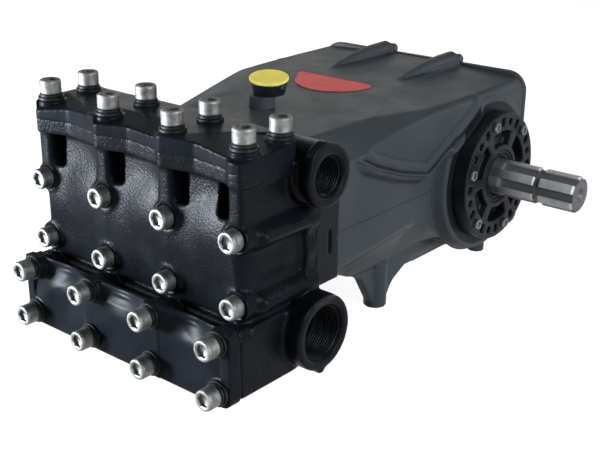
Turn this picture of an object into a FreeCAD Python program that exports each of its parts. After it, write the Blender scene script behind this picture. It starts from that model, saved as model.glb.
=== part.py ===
import FreeCAD, Part
import math
import os
import Sketcher
from FreeCAD import Placement, Rotation, Vector

# Triplex high-pressure plunger pump: crankcase on four feet, a bolted head casting in front with a
# delivery cover on top and a suction cover in front, and a splined drive shaft on the right.
# X runs along the crankshaft towards the driven end, Y runs from the head to the rear cover, Z is up.
# The origin lies on the floor in the middle of the four feet. All sizes are millimetres.

doc = FreeCAD.newDocument("plunger_pump")
sheet = doc.addObject("Spreadsheet::Sheet", "Sizes")

SIZES = [
    ("pitch", 75.0, "distance between the screw columns of the head"),
    ("head_half_width", 125.0, "half the width of the head flanges and covers"),
    ("head_body_half", 119.5, "half the width of the head between its flanges"),
    ("crank_y", 31.0, "crankshaft axis, Y"),
    ("crank_z", 109.5, "crankshaft axis, Z"),
    ("floor_foot_x", 87.5, "feet, X distance from the middle"),
    ("floor_foot_y", 91.5, "feet, Y distance from the middle"),
    ("front_foot_radius", 11.0, "front feet"),
    ("rear_foot_radius", 8.8, "rear feet"),
    ("foot_thread_radius", 4.25, "tapping size of the M10 threads in the feet"),
    ("foot_thread_depth", 18.0, "depth of the threads in the feet"),
    ("contact_y", -227.5, "joint between the head and the crankcase flange"),
    ("case_front_y", -197.5, "front wall of the crankcase, behind its flange"),
    ("flange_bottom_z", 73.5, "lower edge of the crankcase flange"),
    ("flange_top_z", 146.5, "upper edge of the crankcase flange"),
    ("parting_z", 109.5, "parting line of the casting"),
    ("case_rear_y", 95.5, "rear face of the crankcase"),
    ("rear_cover_depth", 7.0, "thickness of the rear cover"),
    ("rear_cover_top_z", 196.8, "upper edge of the rear cover"),
    ("rear_half_width", 127.0, "half width of the crankcase at the rear cover"),
    ("rear_lug_radius", 7.2, "lugs of the rear cover behind the roof bosses"),
    ("rear_corner", 20.0, "upper corners of the rear cover"),
    ("lower_side_half", 117.5, "half width of the crankcase below its leaf-shaped side panels"),
    ("drum_radius", 75.0, "round bearing housing on the side"),
    ("drum_half_width", 128.0, "outer faces of the bearing housings"),
    ("drum_foot_radius", 80.0, "bearing housing where it meets the side"),
    ("belly_half_width", 93.0, "half width of the lower part of the crankcase"),
    ("fin_x", 41.7, "bullet-shaped roof bosses, X distance from the middle"),
    ("fin_radius", 9.5, "bullet-shaped roof bosses"),
    ("fin_z", 198.3, "axis of the roof bosses at the rear cover"),
    ("bearing_cover_radius", 62.5, "bearing covers"),
    ("bearing_cover_depth", 15.0, "thickness of the bearing covers"),
    ("bearing_screw_circle", 53.6, "radius of the bearing cover screw circle"),
    ("bearing_screw_turn", 14.4, "turn of the screws from the spokes, degrees"),
    ("bearing_window_radius", 45.0, "outer radius of the windows in the bearing cover"),
    ("bearing_hub_radius", 31.0, "hub of the bearing cover"),
    ("seal_radius", 26.0, "outside of the shaft seal"),
    ("seal_depth", 8.0, "width of the shaft seal"),
    ("journal_radius", 17.5, "shaft where it passes the seal and the bearing"),
    ("running_clearance", 0.05, "radial clearance around the shaft"),
    ("journal_end_x", 95.0, "inner end of the modelled shaft"),
    ("journal_length", 58.0, "length of the journal"),
    ("shaft_end_x", 227.0, "free end of the splined shaft"),
    ("spline_radius", 17.45, "outside of the splines"),
    ("spline_root_radius", 14.9, "bottom of the spline gaps"),
    ("spline_length", 72.0, "length of the splines"),
    ("groove_from_end", 38.0, "locking groove, distance from the shaft end"),
    ("centre_hole_radius", 6.0, "centre hole in the shaft end"),
    ("inlet_y", -236.2, "suction gallery axis, Y"),
    ("inlet_z", 41.8, "suction gallery axis, Z"),
    ("inlet_boss_radius", 32.3, "outside of the suction gallery"),
    ("inlet_bore_radius", 23.9, "suction ports, G 1-1/2 thread"),
    ("outlet_y", -232.8, "delivery gallery axis, Y"),
    ("outlet_z", 174.3, "delivery gallery axis, Z"),
    ("outlet_boss_radius", 25.6, "outside of the delivery gallery"),
    ("outlet_neck_radius", 21.0, "neck of the delivery ports"),
    ("outlet_bore_radius", 16.6, "delivery ports, G 1 thread"),
    ("port_face_x", 142.5, "faces of the ports"),
    ("port_depth", 28.0, "depth of the port threads"),
    ("port_chamfer", 1.2, "chamfer at the port mouths"),
    ("joint_z", 192.1, "joint between head and delivery cover"),
    ("cover_depth", 13.0, "thickness of the delivery cover and of the suction cover"),
    ("top_front_row_y", -297.2, "front screws of the delivery cover"),
    ("top_rear_row_y", -256.3, "rear screws of the delivery cover"),
    ("front_cover_face_y", -329.5, "front face of the suction cover"),
    ("front_cover_bottom_z", 4.5, "lower edge of the suction cover"),
    ("front_cover_top_z", 68.5, "upper edge of the suction cover"),
    ("upper_suction_row_z", 58.8, "upper screws of the suction cover"),
    ("lower_suction_row_z", 16.5, "lower screws of the suction cover"),
    ("upper_head_row_z", 137.0, "upper screws that hold the head"),
    ("lower_head_row_z", 82.5, "lower screws that hold the head"),
    ("rim_y", -309.0, "front rims of the head screw bosses"),
    ("head_seat_y", -306.5, "seats of the screws that hold the head"),
    ("boss_radius", 12.5, "bosses around the head screws"),
    ("post_radius", 11.5, "pads around the cover screws"),
    ("post_half_width", 8.0, "upright posts of the head's front wall"),
    ("screw_head_radius", 9.0, "M12 socket head"),
    ("screw_head_height", 12.0, "M12 socket head"),
    ("screw_shank_radius", 6.0, "M12 shank"),
    ("socket_width", 10.0, "hexagon socket, across flats"),
    ("socket_depth", 6.0, "hexagon socket"),
    ("washer_radius", 11.0, "flat washers under the cover screws"),
    ("lock_washer_radius", 9.6, "split lock washers under the cover screws"),
    ("washer_depth", 2.5, "thickness of each washer"),
    ("roof_front_z", 187.5, "roof of the crankcase at its front wall"),
    ("roof_rear_z", 196.0, "roof of the crankcase at the rear cover"),
    ("cap_radius", 17.8, "yellow top of the oil cap"),
    ("collar_radius", 11.8, "oil filler collar"),
    ("collar_top_z", 199.5, "upper face of the oil filler collar"),
]

for row, (alias, value, note) in enumerate(SIZES, start=1):
    sheet.set("A%d" % row, alias)
    sheet.set("B%d" % row, "%s" % value)
    sheet.set("C%d" % row, note)
    sheet.setAlias("B%d" % row, alias)
doc.recompute()


def size(alias):
    return float(sheet.get(alias))


RIGHT = Vector(1, 0, 0)
FORWARD = Vector(0, -1, 0)
UP = Vector(0, 0, 1)
COLUMNS = [step * size("pitch") for step in (-1.5, -0.5, 0.5, 1.5)]
CRANK = Vector(0, size("crank_y"), size("crank_z"))


# Outlines and simple solids

def outline_parts(points, radii):
    """Lines and tangent corner arcs of a closed outline, as lists of two or three flat points."""
    corners = []
    count = len(points)
    for index in range(count):
        corner = Vector(points[index][0], points[index][1], 0)
        before = Vector(points[index - 1][0], points[index - 1][1], 0)
        after = Vector(points[(index + 1) % count][0], points[(index + 1) % count][1], 0)
        to_before = (before - corner).normalize()
        to_after = (after - corner).normalize()
        half = to_before.getAngle(to_after) / 2.0
        if radii[index] <= 0 or abs(half - math.pi / 2) < 1e-6:
            corners.append([corner])
            continue
        back = radii[index] / math.tan(half)
        inward = (to_before + to_after).normalize()
        middle = corner + inward * (radii[index] / math.sin(half) - radii[index])
        corners.append([corner + to_before * back, middle, corner + to_after * back])
    parts = []
    for index in range(count):
        following = corners[(index + 1) % count]
        if len(corners[index]) == 3:
            parts.append(corners[index])
        if (following[0] - corners[index][-1]).Length > 1e-6:
            parts.append([corners[index][-1], following[0]])
    return parts


def rounded_wire(points, radii, place):
    """Closed wire in space; place maps flat points to space."""
    edges = []
    for part in outline_parts(points, radii):
        spots = [place(spot) for spot in part]
        if len(spots) == 3:
            edges.append(Part.Arc(*spots).toShape())
        else:
            edges.append(Part.makeLine(*spots))
    return Part.Wire(edges)


def slab_x(points, radii, x_from, x_to):
    """Outline in the YZ plane, extruded along X."""
    wire = rounded_wire(points, radii, lambda p: Vector(x_from, p.x, p.y))
    return Part.Face(wire).extrude(RIGHT * (x_to - x_from))


def slab_y(points, radii, y_from, y_to):
    """Outline in the XZ plane, extruded along Y."""
    wire = rounded_wire(points, radii, lambda p: Vector(p.x, y_from, p.y))
    return Part.Face(wire).extrude(FORWARD * (y_from - y_to))


def slab_z(points, radii, z_from, z_to):
    """Outline in the XY plane, extruded along Z."""
    wire = rounded_wire(points, radii, lambda p: Vector(p.x, p.y, z_from))
    return Part.Face(wire).extrude(UP * (z_to - z_from))


def rod(radius, start, end):
    way = end - start
    return Part.makeCylinder(radius, way.Length, start, way)


def box(x_from, x_to, y_from, y_to, z_from, z_to):
    return Part.makeBox(x_to - x_from, y_to - y_from, z_to - z_from, Vector(x_from, y_from, z_from))


def beyond_plane(solid, through, outward):
    """The part of a solid that lies beyond the plane through three points."""
    normal = (through[1] - through[0]).cross(through[2] - through[0]).normalize()
    if normal.dot(outward) < 0:
        normal = normal * -1.0
    reach = 500.0
    block = Part.makeBox(2 * reach, 2 * reach, reach, Vector(-reach, -reach, 0))
    block.Placement = Placement(through[0], Rotation(UP, normal))
    return solid.common(block)


def mirrored(shape):
    """The same shape on the other side of the middle plane."""
    return shape.mirror(Vector(0, 0, 0), RIGHT)


def feature(label, shape):
    node = doc.addObject("Part::Feature", label)
    node.Label = label
    node.Shape = shape
    node.Placement = Placement()
    return node


# Crankcase

def case_section(y, half_width, top_z, bevel_x, bevel_z, crest_radius):
    """Upper half of the crankcase cut across: side, crest, bevelled shoulder and roof."""
    low = 40.0
    crease_radius = 8.0
    points = [
        (half_width, low), (half_width, top_z - bevel_z), (half_width - bevel_x, top_z),
        (bevel_x - half_width, top_z), (-half_width, top_z - bevel_z), (-half_width, low),
    ]
    radii = [0, crest_radius, crease_radius, crease_radius, crest_radius, 0]
    return rounded_wire(points, radii, lambda p: Vector(p.x, y, p.y))


def upper_case():
    """Upper half of the crankcase: the bevel is steep in front and flattens towards the rear."""
    front = size("case_front_y")
    rear = size("case_rear_y")
    half = size("lower_side_half")
    rear_half = size("rear_half_width")
    sections = [
        case_section(front, half, size("roof_front_z"), 25.0, 38.0, 3.0),
        case_section(-168.0, half + 2.5, 188.2, 26.5, 21.0, 3.5),
        case_section(-148.0, half + 4.0, 188.8, 28.5, 13.5, 4.0),
        case_section(-105.0, half + 6.0, 190.3, 26.0, 7.5, 5.0),
        case_section(-60.0, half + 7.5, 192.0, 19.0, 5.5, 7.0),
        case_section(-11.0, rear_half - 0.5, 193.5, 15.0, 6.5, 10.0),
        case_section(42.0, rear_half, 195.0, 13.0, 8.7, 13.0),
        case_section(rear, rear_half, size("roof_rear_z"), 11.5, 12.0, 16.0),
    ]
    return Part.makeLoft(sections, True, True)


def roof_fold():
    """Shallow facet that drops from a curved fold in front of each roof boss to the shoulder."""
    reach = 140.0
    fold_end = Vector(98.4, -115.8, 0)
    curve = Part.BSplineCurve()
    curve.interpolate([Vector(53.0, 40.0, 0), Vector(53.7, 12.0, 0), Vector(59.0, -26.0, 0),
                       Vector(74.7, -67.7, 0), fold_end])
    corners = [fold_end, Vector(reach, fold_end.y, 0), Vector(reach, 96.0, 0), Vector(53.0, 96.0, 0),
               Vector(53.0, 40.0, 0)]
    edges = [curve.toShape()] + [Part.makeLine(*pair) for pair in zip(corners[:-1], corners[1:])]
    region = Part.Face(Part.Wire(edges)).extrude(UP * 240.0)
    facet = [Vector(54, 15, 193.4), Vector(98, -116, 189.4), Vector(115, 95.5, 192.0)]
    return beyond_plane(region, facet, UP)


def left_facet():
    """Broad facet on the left of the roof: from a slanting fold down to the left shoulder."""
    fold = [Vector(-107.1, -57.5, 190.6), Vector(-35.5, -162.5, 188.0), Vector(-119.5, -131.0, 169.5)]
    region = box(-140.0, 0.0, -200.0, -40.0, 150.0, 230.0)
    return beyond_plane(region, fold, UP)


def side_outline():
    """The crankcase's side: skirt line in front, drum axis, and the rear face."""
    front = size("case_front_y")
    rear = size("case_rear_y")
    reach = math.sqrt(size("drum_radius") ** 2 - (rear - size("crank_y")) ** 2)
    top = 260.0
    points = [(front, top), (front, 77.0), (-78.0, 88.5), (-8.0, 46.0),
              (size("crank_y"), size("crank_z")), (rear, size("crank_z") - reach), (rear, top)]
    return slab_x(points, [0, 0, 22.0, 0, 0, 0, 0], -140.0, 140.0)


def skirt_section(y, arch_z):
    """Cross-section below the arched lower edge of the side, drawn in towards the belly."""
    outer = size("lower_side_half")
    inner = size("belly_half_width")
    foot_z = 36.0
    drop = arch_z - foot_z
    right = [(outer, 102.0), (outer, arch_z), (outer - 9.0, arch_z - 0.25 * drop),
             (inner + 6.0, arch_z - 0.6 * drop), (inner, foot_z)]
    left = [(-x, z) for x, z in reversed(right)]
    return rounded_wire(right + left, [0] * 10, lambda p: Vector(p.x, y, p.y))


def skirt_underside():
    """Solid below the arched edge of the sides, from the flange to the bearing housings."""
    front = size("case_front_y")
    end = -25.0
    arch = [(front, 77.0), (-90.0, 87.3), (-78.0, 86.9), (-66.0, 81.2), (end, 56.3)]
    under = Part.makeLoft([skirt_section(y, z) for y, z in arch], True, True)
    profile = slab_x([(front, 102.0), (front, size("flange_bottom_z")), (-142.0, 46.0), (-100.0, 45.0),
                      (-60.0, 49.0), (end, 56.0), (end, 102.0)],
                     [0, 0, 40.0, 20.0, 20.0, 0, 0], -140.0, 140.0)
    return under.common(profile)


def belly():
    front = size("case_front_y")
    rear = size("case_rear_y")
    half = size("belly_half_width")
    drop = size("flange_bottom_z")
    lower = slab_x([(front, 116.0), (front, drop), (-146.0, 49.0), (-112.0, 32.0),
                    (-30.0, 25.0), (40.0, 25.0), (rear, 40.0), (rear, 116.0)],
                   [0, 0, 30.0, 40.0, 60.0, 40.0, 0, 0], -half, half)
    edge = 6.0
    trim = slab_y([(-half - 5.0, 20.0), (half + 5.0, 20.0), (half + 5.0, 36.0), (half, 36.0),
                   (half - edge, 20.5), (edge - half, 20.5), (-half, 36.0), (-half - 5.0, 36.0)],
                  [0] * 8, -110.0, rear)
    return lower.cut(trim)


def foot(x, y, radius, web):
    """Round foot with a thin web that runs into the belly."""
    post_top = 45.0
    leg = rod(radius, Vector(x, y, 0), Vector(x, y, post_top))
    leg = leg.common(box(-140, 140, -200, size("case_rear_y"), 0, 60))
    sole = rod(radius, Vector(x, y, 0), Vector(x, y, 10.0))
    web_half = 5.0
    return leg.multiFuse([sole, slab_x(web[0], web[1], x - web_half, x + web_half)])


FRONT_WEB = ([(-123.0, 40.5), (-102.0, 5.5), (-79.0, 5.5), (-72.0, 18.0), (-54.0, 27.0), (-20.0, 40.0)],
             [0, 4.0, 4.0, 20.0, 30.0, 0])
REAR_WEB = ([(-10.0, 40.0), (30.0, 25.0), (58.0, 17.0), (84.0, 5.5), (95.0, 5.5), (95.0, 45.0)],
            [0, 30.0, 30.0, 4.0, 0, 0])


def rear_outline(top_z):
    """Outline of the rear cover and of the crankcase rim behind which it sits."""
    half = size("rear_half_width")
    low_corner_z = 42.0
    bottom_z = 14.0
    bottom_half = 97.0
    corner = size("rear_corner")
    points = [(-half, low_corner_z), (-half, top_z), (half, top_z), (half, low_corner_z),
              (bottom_half, bottom_z), (-bottom_half, bottom_z)]
    return points, [corner, corner, corner, corner, 10.0, 10.0]


def fin_shape(x):
    """Bullet-shaped boss in front of an upper rear screw; its lower half runs into the roof."""
    radius = size("fin_radius")
    rear = size("case_rear_y")
    axis_z = size("fin_z")
    full_y = 75.0
    tip = Vector(x, 0.0, axis_z)
    swell = [(0.0, 0.0), (26.0, 0.55), (50.0, 0.87), (full_y, 1.0)]
    curve = Part.BSplineCurve()
    curve.interpolate([Vector(x + radius * share, y, axis_z) for y, share in swell])
    outer = Part.makeLine(Vector(x + radius, full_y, axis_z), Vector(x + radius, rear, axis_z))
    back = Part.makeLine(Vector(x + radius, rear, axis_z), Vector(x, rear, axis_z))
    axis = Part.makeLine(Vector(x, rear, axis_z), tip)
    bullet = Part.Face(Part.Wire([curve.toShape(), outer, back, axis])).revolve(tip, Vector(0, 1, 0), 360)
    nose_drop = 1.7
    bullet.rotate(Vector(x, rear, axis_z), RIGHT, nose_drop)
    return bullet.common(box(x - 20, x + 20, -20, rear, 150, 230))


def side_step():
    """What is cut from the right side below the leaf-shaped panel, so that the panel stands proud."""
    front = size("case_front_y") - 2.0
    outline = [(front, 178.0), (-168.5, 166.8), (-146.6, 155.3), (-113.6, 142.2), (-71.0, 130.5),
               (-55.7, 138.6), (-8.5, 164.0), (3.5, 171.5), (size("crank_y"), size("crank_z")),
               (-8.0, 46.0), (-78.0, 60.0), (front, 60.0)]
    radii = [0, 5.0, 60.0, 60.0, 9.0, 40.0, 60.0, 0, 0, 0, 0, 0]
    return slab_x(outline, radii, size("lower_side_half"), 140.0)


def flange_slot():
    """Slot in the side of the flange, and the notch beside it on the parting line."""
    half = size("head_half_width")
    slot = slab_x([(-211.0, 97.5), (-207.6, 97.5), (-207.6, 120.0), (-211.0, 120.0)], [1.5] * 4,
                  half - 4.0, half + 1.0)
    notch_start = Vector(half - 9.0, -197.0, size("parting_z"))
    return slot.multiFuse([rod(2.2, notch_start, notch_start + RIGHT * 10.0)])


def crankcase_shape():
    front = size("case_front_y")
    rear = size("case_rear_y")
    half = size("head_half_width")
    upper = upper_case()
    fold = roof_fold()
    step = side_step()
    cuts = [fold, mirrored(fold), left_facet(), step, mirrored(step)]
    upper = upper.common(side_outline()).cut(cuts)
    axis = RIGHT * size("drum_half_width")
    drum = rod(size("drum_radius"), CRANK - axis, CRANK + axis)
    side = size("lower_side_half")
    fairing = Part.makeCone(size("drum_foot_radius"), size("drum_radius"), size("drum_half_width") - side,
                            CRANK + RIGHT * side, RIGHT)
    drum = drum.multiFuse([fairing, mirrored(fairing)]).common(box(-140, 140, -200, rear, 0, 260))
    flange = box(-half, half, size("contact_y"), front, size("flange_bottom_z"), size("flange_top_z"))
    points, radii = rear_outline(size("roof_rear_z") - 8.0)
    rim = slab_y(points, radii, rear - 9.0, rear)
    solids = [drum, belly(), skirt_underside(), flange, rim]
    foot_x = size("floor_foot_x")
    foot_y = size("floor_foot_y")
    for x in (-foot_x, foot_x):
        solids.append(foot(x, -foot_y, size("front_foot_radius"), FRONT_WEB))
        solids.append(foot(x, foot_y, size("rear_foot_radius"), REAR_WEB))
    for x in (-size("fin_x"), size("fin_x")):
        solids.append(fin_shape(x))
    case = upper.multiFuse(solids)
    cuts = []
    for x in (-foot_x, foot_x):
        for y in (-foot_y, foot_y):
            thread_top = Vector(x, y, size("foot_thread_depth"))
            cuts.append(rod(size("foot_thread_radius"), Vector(x, y, -1), thread_top))
    cuts.append(rod(size("journal_radius") + size("running_clearance"),
                    CRANK + RIGHT * (size("journal_end_x") - 1.0), CRANK + RIGHT * 200.0))
    slot = flange_slot()
    cuts.extend([slot, mirrored(slot)])
    return case.cut(cuts).removeSplitter()


# Head casting

def prow_outline():
    """Plan of the head's top flange and its cover: a prow before each screw column, facets between."""
    half = size("head_half_width")
    prow_y = -314.0
    points = [(-half - 0.5, -254.6), (-half, -297.0), (-120.5, -306.5), (COLUMNS[0] - 0.5, prow_y)]
    radii = [8.0, 4.0, 4.0, 2.0]
    for column, following in zip(COLUMNS[:-1], COLUMNS[1:]):
        points.extend([(column + 2.0, prow_y), (column + 32.0, -305.5), (following - 6.0, -309.5),
                       (following - 1.5, prow_y)])
        radii.extend([2.0, 16.0, 1.5, 2.0])
    points.extend([(COLUMNS[-1] + 3.5, -314.5), (half - 1.0, -313.6), (half + 0.5, -254.6)])
    radii.extend([3.0, 3.0, 8.0])
    rear_edge = [(90.0, -246.0), (72.0, -241.0), (37.0, -239.0)]
    points.extend(rear_edge)
    points.extend([(-x, y) for x, y in reversed(rear_edge)])
    radii.extend([10.0] * 6)
    return points, radii


def front_wall():
    """Bulged front wall with a shallow bay between each pair of screw columns and a lip at its foot."""
    half = size("head_body_half")
    rear_y = -280.0
    levels = [(62.0, -303.0, -297.5), (67.0, -307.0, -301.0), (85.0, -308.5, -304.5), (110.0, -309.0, -306.5),
              (134.0, -308.5, -305.0), (150.0, -307.0, -303.0), (180.0, -307.0, -301.0)]
    wires = []
    for z, ridge_y, bay_y in levels:
        corner_left = Vector(-half, ridge_y, z)
        corner_right = Vector(half, ridge_y, z)
        edges = [Part.makeLine(Vector(-half, rear_y, z), corner_left),
                 Part.makeLine(corner_left, Vector(COLUMNS[0], ridge_y, z))]
        for left, right in zip(COLUMNS[:-1], COLUMNS[1:]):
            middle = Vector((left + right) / 2.0, bay_y, z)
            edges.append(Part.Arc(Vector(left, ridge_y, z), middle, Vector(right, ridge_y, z)).toShape())
        edges.append(Part.makeLine(Vector(COLUMNS[-1], ridge_y, z), corner_right))
        edges.append(Part.makeLine(corner_right, Vector(half, rear_y, z)))
        edges.append(Part.makeLine(Vector(half, rear_y, z), Vector(-half, rear_y, z)))
        wires.append(Part.Wire(edges))
    return Part.makeLoft(wires, True, False)


def rounded_front(z_from, z_to):
    """Plan of the head body with its upright front corners rounded."""
    half = size("head_body_half")
    corner = 15.0
    rear_y = -236.0
    return slab_z([(-half, -310.0), (half, -310.0), (half, rear_y), (-half, rear_y)],
                  [corner, corner, 0, 0], z_from, z_to)


def post_pocket(column):
    """Recess beside an upright post: on its right, but on the left of the last one."""
    floor_z = 149.0
    top_z = 178.0
    reach = 13.0
    if column < COLUMNS[-1]:
        left = column + size("post_half_width")
    else:
        left = column - size("post_half_width") - reach
    opening = [(left, floor_z), (left + reach, floor_z), (left + reach, top_z), (left, top_z)]
    return slab_y(opening, [5.5, 5.5, 0, 0], -320.0, -287.0)


def post(column):
    """Upright post with rounded front corners, from the upper head screw to the top flange."""
    half = size("post_half_width")
    front = -308.8
    plan = [(column - half, front), (column + half, front), (column + half, -280.0), (column - half, -280.0)]
    shape = slab_z(plan, [5.0, 5.0, 0, 0], 138.0, size("joint_z"))
    limit = size("head_body_half")
    return shape.common(box(-limit, limit, -320.0, -270.0, 130.0, 200.0))


def port_boss():
    """Delivery port: round gallery with a corner on top and a neck groove around its lower front."""
    y = size("outlet_y")
    z = size("outlet_z")
    face = size("port_face_x")
    gallery = rod(size("outlet_boss_radius"), Vector(0, y, z), Vector(face, y, z))
    neck_from = size("head_half_width") + 0.5
    neck_to = face - 9.0
    outline = [(y - 25.4, z + 4.0), (y - 20.5, z + 22.0), (y - 6.0, z + 29.5), (y + 14.5, z + 22.5), (y, z)]
    corner = slab_x(outline, [4.0, 5.0, 6.0, 4.0, 0], neck_to, face)
    neck = rod(size("outlet_neck_radius"), Vector(neck_from - 1.0, y, z), Vector(neck_to + 1.0, y, z))
    groove = box(neck_from, neck_to, y - 40.0, y + 5.0, z - 40.0, z + 12.0).cut(neck)
    return gallery.cut(groove).fuse(corner)


def inlet_boss():
    """Suction port: round gallery with a web rising to the flange and a small lug underneath."""
    y = size("inlet_y")
    z = size("inlet_z")
    face = size("port_face_x")
    inner = size("head_half_width") - 2.0
    gallery = rod(size("inlet_boss_radius"), Vector(0, y, z), Vector(face, y, z))
    web_outline = [(y - 29.0, z + 16.0), (y - 26.4, z + 22.4), (y - 15.0, z + 32.2), (y - 4.3, z + 36.6),
                   (y + 6.9, z + 34.1), (y + 20.0, z + 25.5), (y, z)]
    web = slab_x(web_outline, [4.0, 4.0, 10.0, 4.0, 10.0, 6.0, 0], inner, face)
    lug_outline = [(y - 12.0, z - 28.0), (y - 4.6, z - 35.6), (y - 0.2, z - 35.9), (y + 6.5, z - 28.0)]
    lug = slab_x(lug_outline, [0, 1.5, 1.5, 0], inner, face)
    return gallery.multiFuse([web, lug])


def gallery_bore(y, z, port_radius, gallery_radius):
    """Straight gallery from side to side with a wider threaded port at each end."""
    face = size("port_face_x")
    depth = size("port_depth")
    chamfer = size("port_chamfer")
    run_out = 0.5
    cuts = [rod(gallery_radius, Vector(-face, y, z), Vector(face, y, z))]
    for way in (RIGHT, RIGHT * -1.0):
        mouth = Vector(0, y, z) + way * face
        cuts.append(Part.makeCylinder(port_radius, depth + 1.0, mouth - way * depth, way))
        cuts.append(Part.makeCone(port_radius, port_radius + chamfer + run_out, chamfer + run_out,
                                  mouth - way * chamfer, way))
    return cuts


def head_shape():
    half = size("head_half_width")
    body_half = size("head_body_half")
    contact = size("contact_y")
    joint = size("joint_z")
    face_back = size("front_cover_face_y") + size("cover_depth")
    points, radii = prow_outline()
    top_flange = slab_z(points, radii, joint - 13.6, joint)
    wall = front_wall().common(rounded_front(60.0, 182.0))
    core = box(-body_half, body_half, -290.0, -236.0, 64.5, 182.0)
    joint_block = box(-half, half, -240.0, contact, size("flange_bottom_z"), size("flange_top_z"))
    valley_z = 58.5
    block = slab_x([(face_back, 8.5), (-250.0, 8.5), (-225.0, 38.0), (-230.0, 66.0), (-300.0, 67.0),
                    (-304.0, valley_z), (face_back, valley_z)],
                   [1.0, 12.0, 20.0, 4.0, 2.0, 2.0, 1.0], -half, half)
    suction = inlet_boss()
    delivery = port_boss()
    solids = [core, joint_block, block, suction, mirrored(suction), delivery, mirrored(delivery), top_flange]
    upper_row = size("upper_suction_row_z")
    pad_limits = box(-half, half, -330.0, -290.0, 40.0, 66.5)
    for x in COLUMNS:
        for z in (size("upper_head_row_z"), size("lower_head_row_z")):
            solids.append(rod(size("boss_radius"), Vector(x, size("rim_y"), z), Vector(x, -236.0, z)))
        pad = rod(size("post_radius"), Vector(x, face_back, upper_row), Vector(x, -300.0, upper_row))
        solids.append(pad.common(pad_limits))
        solids.append(post(x))
    head = wall.cut([post_pocket(x) for x in COLUMNS]).multiFuse(solids)
    gap = 0.3
    low = size("flange_bottom_z") - gap
    high = size("flange_top_z") + gap
    behind = box(-half - 1.0, half + 1.0, contact, -150.0, low, high)
    above = slab_z(points, radii, joint, joint + 20.0)
    cuts = [behind, above]
    counterbore = size("screw_head_radius") + 1.5
    for x in COLUMNS:
        for z in (size("upper_head_row_z"), size("lower_head_row_z")):
            cuts.append(rod(counterbore, Vector(x, -325.0, z), Vector(x, size("head_seat_y"), z)))
        for y in (size("top_front_row_y"), size("top_rear_row_y")):
            cuts.append(rod(size("post_radius") + gap, Vector(x, y, joint), Vector(x, y, joint + 20.0)))
    cuts.extend(gallery_bore(size("inlet_y"), size("inlet_z"), size("inlet_bore_radius"), 21.0))
    cuts.extend(gallery_bore(size("outlet_y"), size("outlet_z"), size("outlet_bore_radius"), 14.0))
    return head.cut(cuts).removeSplitter()


# Covers of the head

def delivery_cover_shape():
    """Cover of the delivery valves: flat, with a facet falling towards the front of each bay."""
    points, radii = prow_outline()
    bottom = size("joint_z")
    top = bottom + size("cover_depth")
    plate = slab_z(points, radii, bottom, top)
    middle = box(COLUMNS[1] - 3.2, COLUMNS[2] - 9.0, -330.0, -270.0, 180.0, 240.0)
    right = slab_z([(COLUMNS[2] + 6.0, -330.0), (140.0, -330.0), (140.0, -240.0), (COLUMNS[3], -240.0),
                    (COLUMNS[2] + 6.0, -298.0)], [0] * 5, 180.0, 240.0)
    left = slab_z([(COLUMNS[0] - 3.0, -330.0), (COLUMNS[1] - 14.0, -330.0), (COLUMNS[1] - 14.0, -298.0),
                   (COLUMNS[0] - 3.0, -270.0)], [0] * 4, 180.0, 240.0)
    middle_plane = [Vector(-40.7, -279.0, top), Vector(24.0, -279.0, top), Vector(-6.0, -305.5, 201.2)]
    right_plane = [Vector(47.6, -301.4, top), Vector(73.0, -270.0, top), Vector(112.0, -312.0, 199.5)]
    left_plane = [Vector(-53.0, -302.6, top), Vector(-110.0, -278.0, top), Vector(-81.5, -305.5, 202.4)]
    facets = [beyond_plane(middle, middle_plane, UP), beyond_plane(right, right_plane, UP),
              beyond_plane(left, left_plane, UP)]
    pads = []
    for x in COLUMNS:
        for y in (size("top_front_row_y"), size("top_rear_row_y")):
            pads.append(rod(size("post_radius"), Vector(x, y, bottom), Vector(x, y, top)))
    return plate.cut(facets).multiFuse(pads).removeSplitter()


def suction_cover_shape():
    """Cover of the suction valves: the outer bays dished, facets falling back to the wavy upper edge."""
    half = size("head_half_width")
    face = size("front_cover_face_y")
    back = face + size("cover_depth")
    low = size("front_cover_bottom_z")
    high = size("front_cover_top_z")
    plate = slab_y([(-half, low), (half, low), (half, high), (-half, high)], [5.0, 8.0, 3.0, 3.0], face, back)
    dish_depth = 0.8
    strip_x = 115.5
    dish = box(COLUMNS[2] + 8.0, strip_x, face - 5.0, face + dish_depth, low - 1.0, high + 1.0)
    over = high + 5.0
    bay_x = COLUMNS[2] + 8.0
    bay = slab_y([(bay_x, over), (bay_x, 40.0), (strip_x, 20.0), (strip_x, over)], [0] * 4, face - 5.0, back)
    slope_plane = [Vector(47.6, face, 64.5), Vector(84.9, face, 41.5), Vector(82.0, face + 4.2, high)]
    slope = beyond_plane(bay, slope_plane, FORWARD)
    middle_bay = box(COLUMNS[1] + 9.0, COLUMNS[2] - 9.0, face - 5.0, back, 40.0, over)
    middle_plane = [Vector(-20, face, 53.0), Vector(20, face, 53.0), Vector(0, face + 4.2, high)]
    middle = beyond_plane(middle_bay, middle_plane, FORWARD)
    edge_plane = [Vector(0, face + 7.5, high), Vector(9, face + 7.5, high), Vector(0, back, valley_edge())]
    rear_strip = box(-half - 1.0, half + 1.0, face, back + 1.0, 40.0, over)
    edge = beyond_plane(rear_strip, edge_plane, Vector(0, 1, 1))
    pads = []
    for x in COLUMNS:
        for z in (size("upper_suction_row_z"), size("lower_suction_row_z")):
            pads.append(rod(size("post_radius"), Vector(x, face, z), Vector(x, back, z)))
    cover = plate.cut([dish, mirrored(dish), slope, mirrored(slope), middle, edge])
    limits = box(-half, half, face, back, low, high)
    return cover.multiFuse([pad.common(limits) for pad in pads]).removeSplitter()


def valley_edge():
    """Height at which the suction cover's bevelled rear edge meets its back."""
    return size("upper_suction_row_z") + 1.0


# Screws and washers

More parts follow.
